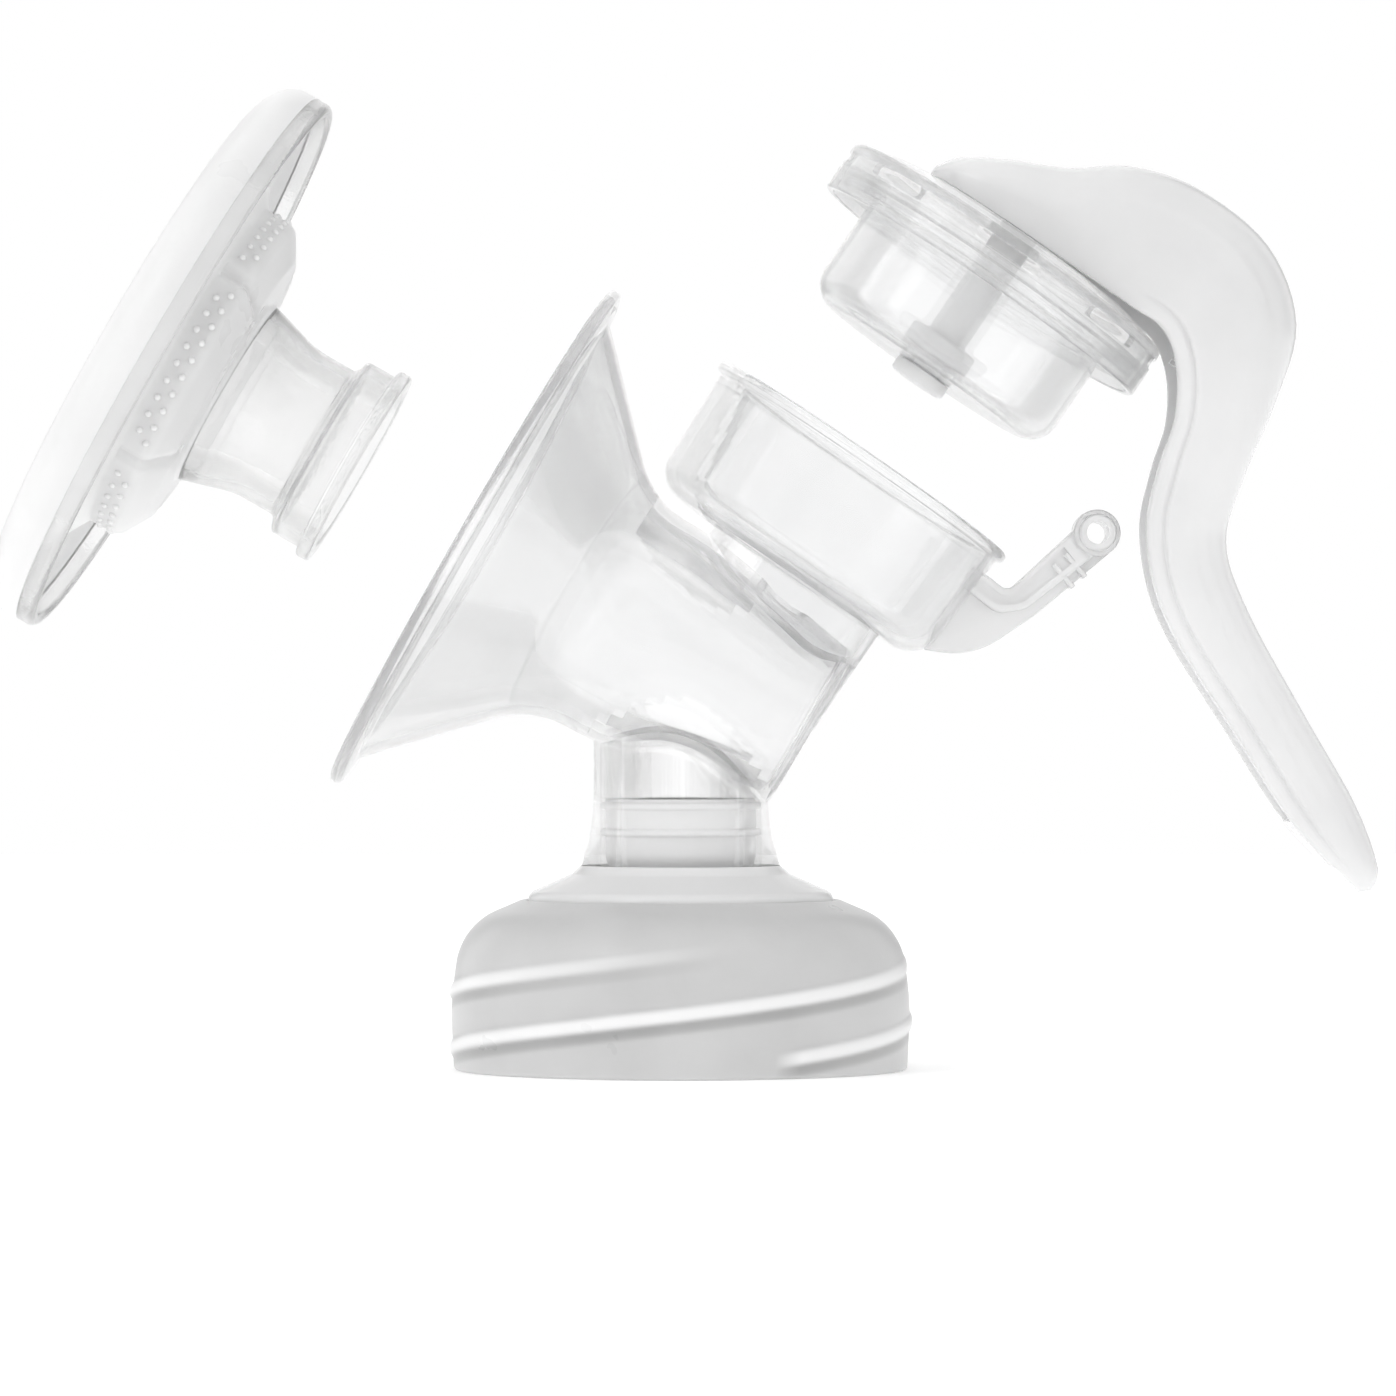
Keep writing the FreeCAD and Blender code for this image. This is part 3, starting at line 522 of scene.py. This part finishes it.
def pivot_arm():
    eye = arm_eye()
    bar = rounded([
        (43.4, 75.6), (46.2, 73.8), (48.9, 71.6, 1.6), (eye.x - 2.6, eye.y + 1.2), (eye.x, eye.y),
        (eye.x - 0.6, eye.y - 3.6), (51.6, 68.9, 4), (47.4, 68.3, 3), (41.8, 72.6),
    ], step=10)
    piece = prism("tool", bar, 4.0, bevel=0.5)
    hollow = rounded([
        (45.0, 73.4), (48.9, 70.45, 1.8), (57.4, 78.3), (59.0, 76.2), (51.2, 69.95, 3.4), (47.7, 69.45, 2.4),
        (43.6, 72.4),
    ], step=10)
    sides = [prism("tool", hollow, 2.0, Matrix.Translation((0, y * MM, 0)), bevel=0) for y in (-4.9, 4.9)]
    combine(piece, sides, "DIFFERENCE")
    along = Vector((0.76, 0.65))
    across = Vector((-0.65, 0.76))
    corners = ((-0.4, -2.3), (0.4, -2.3), (0.4, 2.3), (-0.4, 2.3))
    ribs = []
    for distance in (5.6, 8.0):
        centre = eye - along * distance - across * 1.6
        ribs.append(prism("tool", [centre + along * u + across * v for u, v in corners], 3.9, bevel=0.2))
    combine(piece, ribs, "UNION")
    ring_place = Matrix.Translation((eye.x * MM, 0, eye.y * MM)) @ Matrix.Rotation(math.radians(90), 4, "X")
    discs = []
    for radius, half in ((EYE_RADIUS, 4.4), (2.8, 7.0)):
        disc = rounded([(0, -half), (radius, -half, 0.5), (radius, half, 0.5), (0, half)])
        discs.append(lathe("tool", disc, ring_place, 64))
    combine(piece, discs, "UNION")
    combine(piece, [tool_cylinder(1.7, -8.0, 8.0, ring_place, 48), cup_filler()], "DIFFERENCE")
    return piece


def arm_web():
    """Thin curved web under the arm, from the cup's side to below the eye."""
    eye = arm_eye()
    edge = rounded([
        (36.4, 63.0), (43.6, 61.7, 12), (53.0, 68.0, 14), (65.0, 78.0, 0.4), (64.0, 78.4),
        (eye.x - 0.9, eye.y - 2.4), (51.4, 69.9, 4), (47.4, 69.3, 3), (41.4, 72.9),
    ], step=8)
    piece = prism("tool", edge, 0.8, bevel=0.3)
    combine(piece, [cup_filler()], "DIFFERENCE")
    return piece


def clear_body():
    """The whole clear moulding as one mesh."""
    piece = funnel()
    parts = [valve_neck(), valve_spout(), diaphragm_cup(), cup_seat(), pivot_arm(), arm_web()]
    combine(piece, parts, "UNION")
    drain = tool_cylinder(DRAIN_RADIUS, *DRAIN_SPAN, WORLD)
    port_place = CUP @ Matrix.Translation((SEAT_SHIFT * MM, 0, 0))
    port = tool_cylinder(PORT_RADIUS, *PORT_SPAN, port_place)
    combine(piece, [drain, port], "DIFFERENCE")
    finish_piece(piece, "pump_body", "clear_plastic", CLEAR,
                 "funnel_horn", "tunnel_tube", "valve_neck", "neck_base", "valve_spout", "pump_cup",
                 "cup_seat", "pivot_arm", "arm_web")
    for finish in (MILKY, PALE, NECK_CLEAR):
        piece.data.materials.append(finish)
    for polygon in piece.data.polygons:
        place = polygon.center / MM
        on_neck = math.hypot(place.x, place.y) < NECK_ZONE and outside_funnel(polygon.center) > -0.2
        if place.x > ARM_START and place.z < ARM_TOP and outside_cup(polygon.center):
            polygon.material_index = 1
        elif place.z < BASE_TOP:
            polygon.material_index = 2
        elif on_neck:
            polygon.material_index = 3
    return piece


VALVE_RADIUS = 11.3
SEAL_RIBS = ((39.0, 40.1), (35.0, 36.1))
SEAL_HEIGHT = 0.8


def duckbill_valve():
    """Cup with two sealing ribs round it."""
    crest = VALVE_RADIUS + SEAL_HEIGHT
    outline = [(9.9, 40.6, 0.3), (VALVE_RADIUS, 40.6, 0.4)]
    for low, high in SEAL_RIBS:
        outline += [(VALVE_RADIUS, high, 0.1), (crest, high, 0.45)]
        outline += [(crest, low, 0.45), (VALVE_RADIUS, low, 0.1)]
    outline += [(VALVE_RADIUS, 29.0, 3.4), (0.0, 29.0), (0.0, 30.4), (9.9, 30.4, 2)]
    piece = lathe("duckbill_valve_cup", refined(rounded(outline, step=10), 2.0), WORLD, 128)
    return finish_piece(piece, "pump_body", "white_silicone", VALVE, "duckbill_valve")


# ---------------------------------------------------------------- screw collar

RIB_COUNT = 3
RIB_FIRST = math.radians(-66)
RIB_SLOPE = 26.0 / (2 * math.pi)
RIB_TURN = 4.0
RIB_START = 2.6
RIB_HALF = 1.4
RIB_HEIGHT = 0.45
# Strength of the painted highlight on a rib's crest and of the painted shade just below it.
CREST_HIGHLIGHT = 1.5
FOOT_SHADE = 0.9


def rib_lift(height, angle):
    """How far a swirl rib stands off the collar's wall at a height and angle."""
    lift = 0.0
    for rib in range(RIB_COUNT):
        turn = (angle - RIB_FIRST - 2 * math.pi * rib / RIB_COUNT) % (2 * math.pi)
        if turn > RIB_TURN:
            continue
        fade = min(1.0, (RIB_TURN - turn) / 1.4) * min(1.0, turn / 0.12)
        across = min(1.0, abs(height - RIB_START - RIB_SLOPE * turn) / RIB_HALF)
        lift = max(lift, RIB_HEIGHT * fade * (1 - across ** 3) ** 2)
    return lift


def collar_shape(radius, height, angle):
    """Raises the swirl ribs on the outer wall."""
    if radius < 32.4 and height < 15.0 or height < 0.8:
        return radius, height
    share = max(0.0, min(1.0, (radius - 30.0) / 3.0))
    return radius + share * rib_lift(height, angle), height


def screw_collar():
    outline = refined(rounded([
        (34.0, 0.0, 0.6), (34.5, 10.0, 40), (32.9, 21.6, 10), (23.3, 25.7, 0.5), (23.3, 24.0),
        (29.2, 20.6, 5), (31.6, 15.0, 20), (31.6, 2.2), (32.2, 2.2), (32.2, 0.0),
    ], step=4), 0.4)
    piece = lathe("screw_collar_shell", outline, WORLD, 360, collar_shape, sharp=60)
    finish_piece(piece, "collar", "frosted_plastic", COLLAR, "screw_collar", "grip_swirls")
    # Paints light into a colour attribute: 0.5 leaves the colour as it is, a painted highlight lifts it on a
    # rib's crest and painted shade darkens it just below.
    shade = piece.data.attributes.new(SWIRL_PAINTED_LIGHT, "FLOAT_COLOR", "POINT")
    for vertex, entry in zip(piece.data.vertices, shade.data):
        place = vertex.co / MM
        painted_light = 0.5
        if math.hypot(place.x, place.y) > 31.9:
            angle = math.atan2(place.y, place.x)
            below = place.z + 1.2 * RIB_HALF
            painted_light += CREST_HIGHLIGHT * rib_lift(place.z, angle) - FOOT_SHADE * rib_lift(below, angle)
        entry.color = (painted_light, painted_light, painted_light, 1.0)
    return piece


# ---------------------------------------------------------------- lid, diaphragm and stem

LID_WINDOWS = 8
WINDOW_RADIUS = 27.5
PIN_HEIGHT = 14.4


def lid_cover():
    outline = refined(rounded([
        (27.8, -0.2, 0.5), (27.8, 7.6, 1.0), (21.0, 9.3, 6), (4.6, 9.3, 0.4), (4.6, 8.0, 0.4), (21.0, 8.0, 4),
        (26.5, 6.3, 0.6), (26.5, -0.2, 0.4),
    ], step=6), 2.0)
    piece = lathe("lid_cover_shell", outline, LID, 192)
    windows = []
    for k in range(LID_WINDOWS):
        turn = Matrix.Rotation(math.radians(360 * k / LID_WINDOWS - 90), 4, "Z")
        box = rounded([(-5.5, 4.4, 0.6), (5.5, 4.4, 0.6), (5.5, 6.2, 0.6), (-5.5, 6.2, 0.6)], step=30)
        out = Matrix.Translation((0, WINDOW_RADIUS * MM, 0))
        windows.append(prism("tool", box, 3.0, LID @ turn @ out, bevel=0))
    combine(piece, windows, "DIFFERENCE")
    return finish_piece(piece, "lid", "clear_lid", CLEAR_LID, "lid_cover")


def clamp_ring():
    outline = rounded([(22.0, 3.0, 0.3), (26.44, 3.0, 0.3), (26.44, 4.15, 0.3), (22.0, 4.15, 0.3)])
    piece = lathe("clamp_ring_band", outline, LID, 160)
    return finish_piece(piece, "lid", "clear_lid", CLEAR_LID, "clamp_ring")


def diaphragm_rim():
    outline = rounded([(20.05, 1.25, 0.2), (26.0, 1.25, 0.5), (26.0, 2.9, 0.5), (20.05, 2.9, 0.5)])
    piece = lathe("diaphragm_rim_band", outline, LID, 160)
    return finish_piece(piece, "lid", "clear_silicone", CLEAR_SILICONE, "diaphragm_rim")


def diaphragm():
    outline = refined(rounded([
        (21.0, 1.15, 0.2), (21.0, -14.7, 4.2), (3.3, -14.7), (3.3, -13.7), (20.0, -13.7, 3.2),
        (20.0, 1.15, 0.2),
    ], step=6), 1.2)
    piece = lathe("diaphragm_bowl", outline, LID, 160)
    piece.data.materials.clear()
    piece.data.materials.append(CLEAR_SILICONE)
    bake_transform(piece)
    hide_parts("diaphragm")
    return piece


def stem():
    outline = refined(rounded([
        (0.0, 16.2), (3.15, 16.2, 0.5), (3.15, -9.0, 0.8), (5.5, -9.0, 0.5), (5.5, -13.6, 0.2),
        (3.0, -13.6), (3.0, -14.8), (4.5, -14.8, 0.2), (4.5, -16.9, 0.6), (0.0, -16.9),
    ], step=10), 2.0)
    piece = lathe("diaphragm_stem", outline, LID, 96)
    cross = Matrix.Translation((0, 0, PIN_HEIGHT * MM)) @ Matrix.Rotation(math.radians(90), 4, "X")
    pin = rounded([(0.0, -5.9), (1.8, -5.9, 0.3), (1.8, 5.9, 0.3), (0.0, 5.9)])
    combine(piece, [lathe("tool", pin, LID @ cross, 48)], "UNION")
    return finish_piece(piece, "stem", "white_plastic", WHITE, "stem_foot", "stem_shaft", "stem_head")


# ---------------------------------------------------------------- handle

# Outer x and z, inner x and z, half width, from the nose over the head down to the tip.
HANDLE_SECTIONS = [
    (38.3, 135.3, 37.3, 133.9, 9.0), (42.0, 136.5, 40.3, 131.9, 12.5), (49.5, 136.0, 45.1, 128.6, 15.0),
    (58.0, 134.8, 52.1, 123.8, 16.0), (67.0, 135.1, 59.7, 118.6, 16.2), (77.3, 131.7, 66.3, 114.0, 16.0),
    (87.7, 123.2, 71.4, 110.4, 15.2), (92.0, 111.5, 73.6, 104.6, 13.8), (88.8, 99.6, 73.4, 97.2, 12.0),
    (84.4, 89.0, 71.0, 89.8, 10.6), (81.6, 79.0, 69.3, 80.2, 9.8), (85.0, 68.4, 72.2, 67.4, 9.6),
    (93.2, 53.4, 82.2, 50.8, 9.4), (100.9, 39.8, 91.0, 37.2, 8.8), (104.4, 30.2, 98.4, 29.6, 7.0),
    (103.6, 26.9, 101.4, 26.7, 4.0),
]


def catmull(points, t):
    """Point at t, in sections, on a smooth curve through the points."""
    last = len(points) - 1
    i = min(int(t), last - 1)
    f = t - i
    p1, p2 = points[i], points[i + 1]
    p0 = points[i - 1] if i > 0 else 2 * p1 - p2
    p3 = points[i + 2] if i + 2 <= last else 2 * p2 - p1
    return 0.5 * (2 * p1 + (p2 - p0) * f + (2 * p0 - 5 * p1 + 4 * p2 - p3) * f ** 2
                  + (3 * p1 - p0 - 3 * p2 + p3) * f ** 3)


BACK_ROUND = 0.62
LIP_WIDTH = 2.4
GROOVE = 0.9
GROOVE_SECTIONS = (5.0, 14.0)
GROOVE_FADE = 1.5
HANDLE_WALL = 1.9
EDGE_ROUND = 0.3
STEPS_PER_SECTION = 6
# Inset from the side and share of the lip's width, from the open edge over the band and the groove beside it.
EDGE_BAND = [
    (1.1, 0.0), (0.45, 0.08), (0.1, 0.28), (0.0, 0.6), (0.0, 0.8),
    (0.12, 0.94), (0.5, 1.06), (0.5, 1.18), (0.12, 1.3), (0.0, 1.45),
]


def handle_loop(back_point, edge_point, half, groove, points_per_part=7):
    """Loop across the handle, from one edge over the back to the other edge."""
    inwards = (edge_point - back_point).normalized()
    depth = (edge_point - back_point).length
    corner = half * BACK_ROUND
    drop = min(corner, depth * 0.6)
    lip = min(LIP_WIDTH, depth * 0.22)
    side = [(half - inset * groove, depth - share * lip) for inset, share in EDGE_BAND]
    side.append((half, (depth - EDGE_BAND[-1][1] * lip + drop) / 2))
    for k in range(points_per_part + 1):
        angle = math.pi / 2 * k / points_per_part
        side.append((half - corner + corner * math.cos(angle), drop - drop * math.sin(angle)))
    side += [((half - corner) * (1 - k / 4), 0.0) for k in range(1, 5)]
    full = side + [(-y, d) for y, d in reversed(side[:-1])]
    return [back_point + inwards * d + WIDTH * y for y, d in full]


def handle_solid(name, wall, first, last, reach):
    """Closed form through the sections, its skin inset by the wall and its open edge moved out by reach."""
    back = [Vector((x, 0, z)) for x, z, _, _, _ in HANDLE_SECTIONS]
    edge = [Vector((x, 0, z)) for _, _, x, z, _ in HANDLE_SECTIONS]
    half = [Vector((section[4], 0, 0)) for section in HANDLE_SECTIONS]
    rows = (last - first) * STEPS_PER_SECTION + 1
    vertices = []
    for k in range(rows):
        t = first + k / STEPS_PER_SECTION
        back_point, edge_point = catmull(back, t), catmull(edge, t)
        inwards = (edge_point - back_point).normalized()
        inside = min(t - GROOVE_SECTIONS[0], GROOVE_SECTIONS[1] - t)
        groove = 0.0 if wall else GROOVE * max(0.0, min(1.0, inside / GROOVE_FADE))
        ends = back_point + inwards * wall, edge_point + inwards * reach
        loop = handle_loop(*ends, catmull(half, t).x - wall, groove)
        vertices += [tuple(point) for point in loop]
    columns = len(loop)
    faces = loops_to_faces(rows, columns, close_rows=False)
    faces += [tuple(range(columns)), tuple(range((rows - 1) * columns, rows * columns))]
    return new_piece(name, vertices, faces, WORLD, sharp=50)


def handle():
    """Hollow shell, open along its inner side."""
    last = len(HANDLE_SECTIONS) - 1
    piece = handle_solid("handle_shell_cover", 0.0, 0, last, 0.0)
    combine(piece, [handle_solid("tool", HANDLE_WALL, 1, last - 2, 1.0)], "DIFFERENCE", sharp=50)
    apply_modifier(piece, "BEVEL", width=EDGE_ROUND * MM, segments=2, limit_method="ANGLE",
                   angle_limit=math.radians(50))
    smooth(piece.data, 60)
    return finish_piece(piece, "handle", "handle_plastic", HANDLE, "handle_shell")


# ---------------------------------------------------------------- massage cushion

# Radius, height and round of the section: outside from the cuff forwards, then back along the inside.
CUSHION_OUTLINE = [
    (15.9, 0.0, 0.6), (15.9, -2.2, 0.6), (14.7, -2.2, 0.3), (14.7, -6.9, 0.8), (12.4, -7.9, 0.9),
    (12.4, -14.5, 12), (15.0, -23.4, 1.0), (21.7, -23.7, 2.2), (26.7, -26.6, 2.4), (26.8, -31.4, 0.8),
    (38.6, -38.2, 2.0), (42.8, -35.6, 1.6), (42.8, -30.4, 0.9), (45.0, -30.4, 1.2), (45.0, -37.2, 4.6),
    (39.0, -41.3, 6.0), (13.4, -26.0, 2.0), (12.9, -20.5, 3.0), (10.8, -14.5, 12), (10.8, -8.0, 0.8),
    (13.0, -6.2, 0.8), (13.0, 0.0, 0.4),
]
PETALS = 5
BUMP_PITCH = 2.9
DISH_SLOPE = 0.593
BUMP_ROWS = ((26.62, -27.9), (26.62, -29.6))
BUMP_RINGS = (20.5, 25.0, 29.5)


def dish_height(radius):
    """Height of the dished front at a radius."""
    return -26.0 - (radius - 13.4) * DISH_SLOPE


def seam_dip(radius, angle, half_width=1.0):
    """1 on a seam between two petals, falling to 0 beside it."""
    pitch = 2 * math.pi / PETALS
    off = (angle - pitch / 4) % pitch
    off = min(off, pitch - off) * max(radius, 1.0)
    return math.exp(-(off / half_width) ** 2)


def cushion_shape(radius, height, angle):
    """Grooves between the petals of the pad, on its back and on the dished front."""
    if 18.5 < radius < 27.5 and -31.0 < height < -23.0:
        return radius - 1.1 * seam_dip(radius, angle), height - 0.5 * seam_dip(radius, angle)
    if 16.5 < radius < 36.5 and height < dish_height(radius) + 0.6:
        swell = math.sin(math.pi * (radius - 16.5) / 20.0) ** 0.6
        return radius, height - 0.9 * swell * (1 - seam_dip(radius, angle, 1.8))
    return radius, height


def cushion():
    outline = refined(rounded(CUSHION_OUTLINE, step=6), 0.8)
    piece = lathe("massage_cushion", outline, CUSHION, 300, cushion_shape, sharp=60)
    piece = finish_piece(piece, "cushion", "soft_silicone", SOFT,
                         "cushion_rim", "massage_pad", "cushion_neck", "cushion_cuff")
    piece.data.materials.append(SOFT_CLEAR)
    back = CUSHION.inverted()
    for polygon in piece.data.polygons:
        place = back @ polygon.center / MM
        radius = math.hypot(place.x, place.y)
        on_neck = place.z > -22.8 and radius < 17.5
        on_rim = place.z > -33.5 and radius > 40.5
        if on_neck or on_rim:
            polygon.material_index = 1
    return piece


def cushion_bumps():
    """Two rows of small round bumps on the side of the pad, and three rings of them on its front."""
    tool = bmesh.new()
    rows = [(r, z, 0.0, 0.55) for r, z in BUMP_ROWS]
    rows += [(r, dish_height(r) - 0.75, 0.5, 0.6) for r in BUMP_RINGS]
    for number, (radius, height, phase, size) in enumerate(rows):
        count = round(2 * math.pi * radius / BUMP_PITCH)
        for k in range(count):
            angle = 2 * math.pi * (k + phase + number / 2) / count
            if seam_dip(radius, angle, 1.8) > 0.15:
                continue
            spot = CUSHION @ (Vector((radius * math.cos(angle), radius * math.sin(angle), height)) * MM)
            place = Matrix.Translation(spot) @ Matrix.Scale(size * MM, 4)
            bmesh.ops.create_icosphere(tool, subdivisions=2, radius=1.0, matrix=place)
    mesh = bpy.data.meshes.new("massage_bumps")
    tool.to_mesh(mesh)
    tool.free()
    for polygon in mesh.polygons:
        polygon.use_smooth = True
    piece = place_mesh("massage_bumps", mesh)
    return finish_piece(piece, "cushion", "soft_silicone", BUMPS)


# ---------------------------------------------------------------- scene

# Light passes many clear walls on its way through the pump.
BOUNCES = 28
PANELS = 8.0
PANEL_LIGHT = (0.55, 1.12)
TOP_LIGHT = 1.1
SIDE_LIGHT = (1.0, 0.72)


def carried_nodes():
    finishes = {"collar_thread": FROSTED, "pivot_hooks": HANDLE, "stem_clip": HANDLE}
    for node, finish in finishes.items():
        mesh = frame["nodes"][node].data
        mesh.materials.clear()
        mesh.materials.append(finish)


def floor():
    parts = new_material("pale_floor")
    textured(parts, 8, grey(0.94, 0.96), (0.6, 0.7), (0.02, 10.0))
    shader = parts[3]
    shader.inputs["Emission Color"].default_value = (1, 1, 1, 1)
    shader.inputs["Emission Strength"].default_value = 0.25
    size = 1500.0
    corners = [(-size, -size, 0), (size, -size, 0), (size, size, 0), (-size, size, 0)]
    piece = new_piece("floor", corners, [(0, 1, 2, 3)], WORLD)
    piece.data.materials.append(parts[0])


def math_node(nodes, links, operation, *values):
    node = nodes.new("ShaderNodeMath")
    node.operation = operation
    for slot, value in enumerate(values):
        if isinstance(value, float):
            node.inputs[slot].default_value = value
        else:
            links.new(value, node.inputs[slot])
    return node.outputs["Value"]


def range_node(nodes, links, value, source, target, kind="LINEAR"):
    """Value mapped from one range to another, and kept within it."""
    node = nodes.new("ShaderNodeMapRange")
    node.interpolation_type = kind
    for name, amount in zip(("From Min", "From Max", "To Min", "To Max"), source + target):
        node.inputs[name].default_value = amount
    links.new(value, node.inputs["Value"])
    return node.outputs["Result"]


def studio():
    """Soft white surroundings: tall panels with dimmer gaps, open above, a little dimmer to the right."""
    world = bpy.data.worlds.new("studio")
    bpy.context.scene.world = world
    world.use_nodes = True
    nodes, links = world.node_tree.nodes, world.node_tree.links
    nodes.clear()
    direction = nodes.new("ShaderNodeTexCoord")
    split = nodes.new("ShaderNodeSeparateXYZ")
    links.new(direction.outputs["Generated"], split.inputs[0])
    turn = math_node(nodes, links, "ARCTAN2", split.outputs["Y"], split.outputs["X"])
    wave = math_node(nodes, links, "COSINE", math_node(nodes, links, "MULTIPLY", turn, PANELS))
    height = math_node(nodes, links, "ABSOLUTE", split.outputs["Z"])
    sky = nodes.new("ShaderNodeMix")
    links.new(range_node(nodes, links, height, (0.55, 0.8), (0.0, 1.0)), sky.inputs["Factor"])
    links.new(range_node(nodes, links, wave, (-0.9, 0.1), PANEL_LIGHT, "SMOOTHSTEP"), sky.inputs["A"])
    sky.inputs["B"].default_value = TOP_LIGHT
    side = range_node(nodes, links, split.outputs["X"], (-0.2, 1.0), SIDE_LIGHT)
    seen = nodes.new("ShaderNodeLightPath")
    pick = nodes.new("ShaderNodeMix")
    links.new(seen.outputs["Is Camera Ray"], pick.inputs["Factor"])
    links.new(math_node(nodes, links, "MULTIPLY", sky.outputs["Result"], side), pick.inputs["A"])
    pick.inputs["B"].default_value = 1.0
    background = nodes.new("ShaderNodeBackground")
    background.inputs["Color"].default_value = (1, 1, 1, 1)
    links.new(pick.outputs["Result"], background.inputs["Strength"])
    out = nodes.new("ShaderNodeOutputWorld")
    links.new(background.outputs["Background"], out.inputs["Surface"])


def soft_light(name, place, target, size, power):
    light = bpy.data.lights.new(name, "AREA")
    light.shape = "DISK"
    light.size = size
    light.energy = power
    lamp = bpy.data.objects.new(name, light)
    lamp.location = place
    lamp.visible_transmission = False
    lamp.rotation_euler = (Vector(target) - Vector(place)).to_track_quat("-Z", "Y").to_euler()
    bpy.context.scene.collection.objects.link(lamp)


def camera():
    lens = bpy.data.cameras.new("camera")
    lens.sensor_width = 36.0
    lens.lens = 189.0
    view = bpy.data.objects.new("camera", lens)
    view.location = (0.0026, -1.1, 0.0557)
    view.rotation_euler = (math.radians(90), 0, 0)
    bpy.context.scene.collection.objects.link(view)
    bpy.context.scene.camera = view


camera()
studio()
floor()
bpy.context.scene.view_settings.view_transform = "Standard"
bpy.context.scene.cycles.max_bounces = BOUNCES
bpy.context.scene.cycles.transmission_bounces = BOUNCES
soft_light("key", (-0.7, -0.8, 0.9), (0, 0, 0.07), 0.5, 1.3)
for build in (clear_body, duckbill_valve, screw_collar, lid_cover, clamp_ring, diaphragm_rim, diaphragm, stem,
              handle, cushion, cushion_bumps, carried_nodes):
    build()
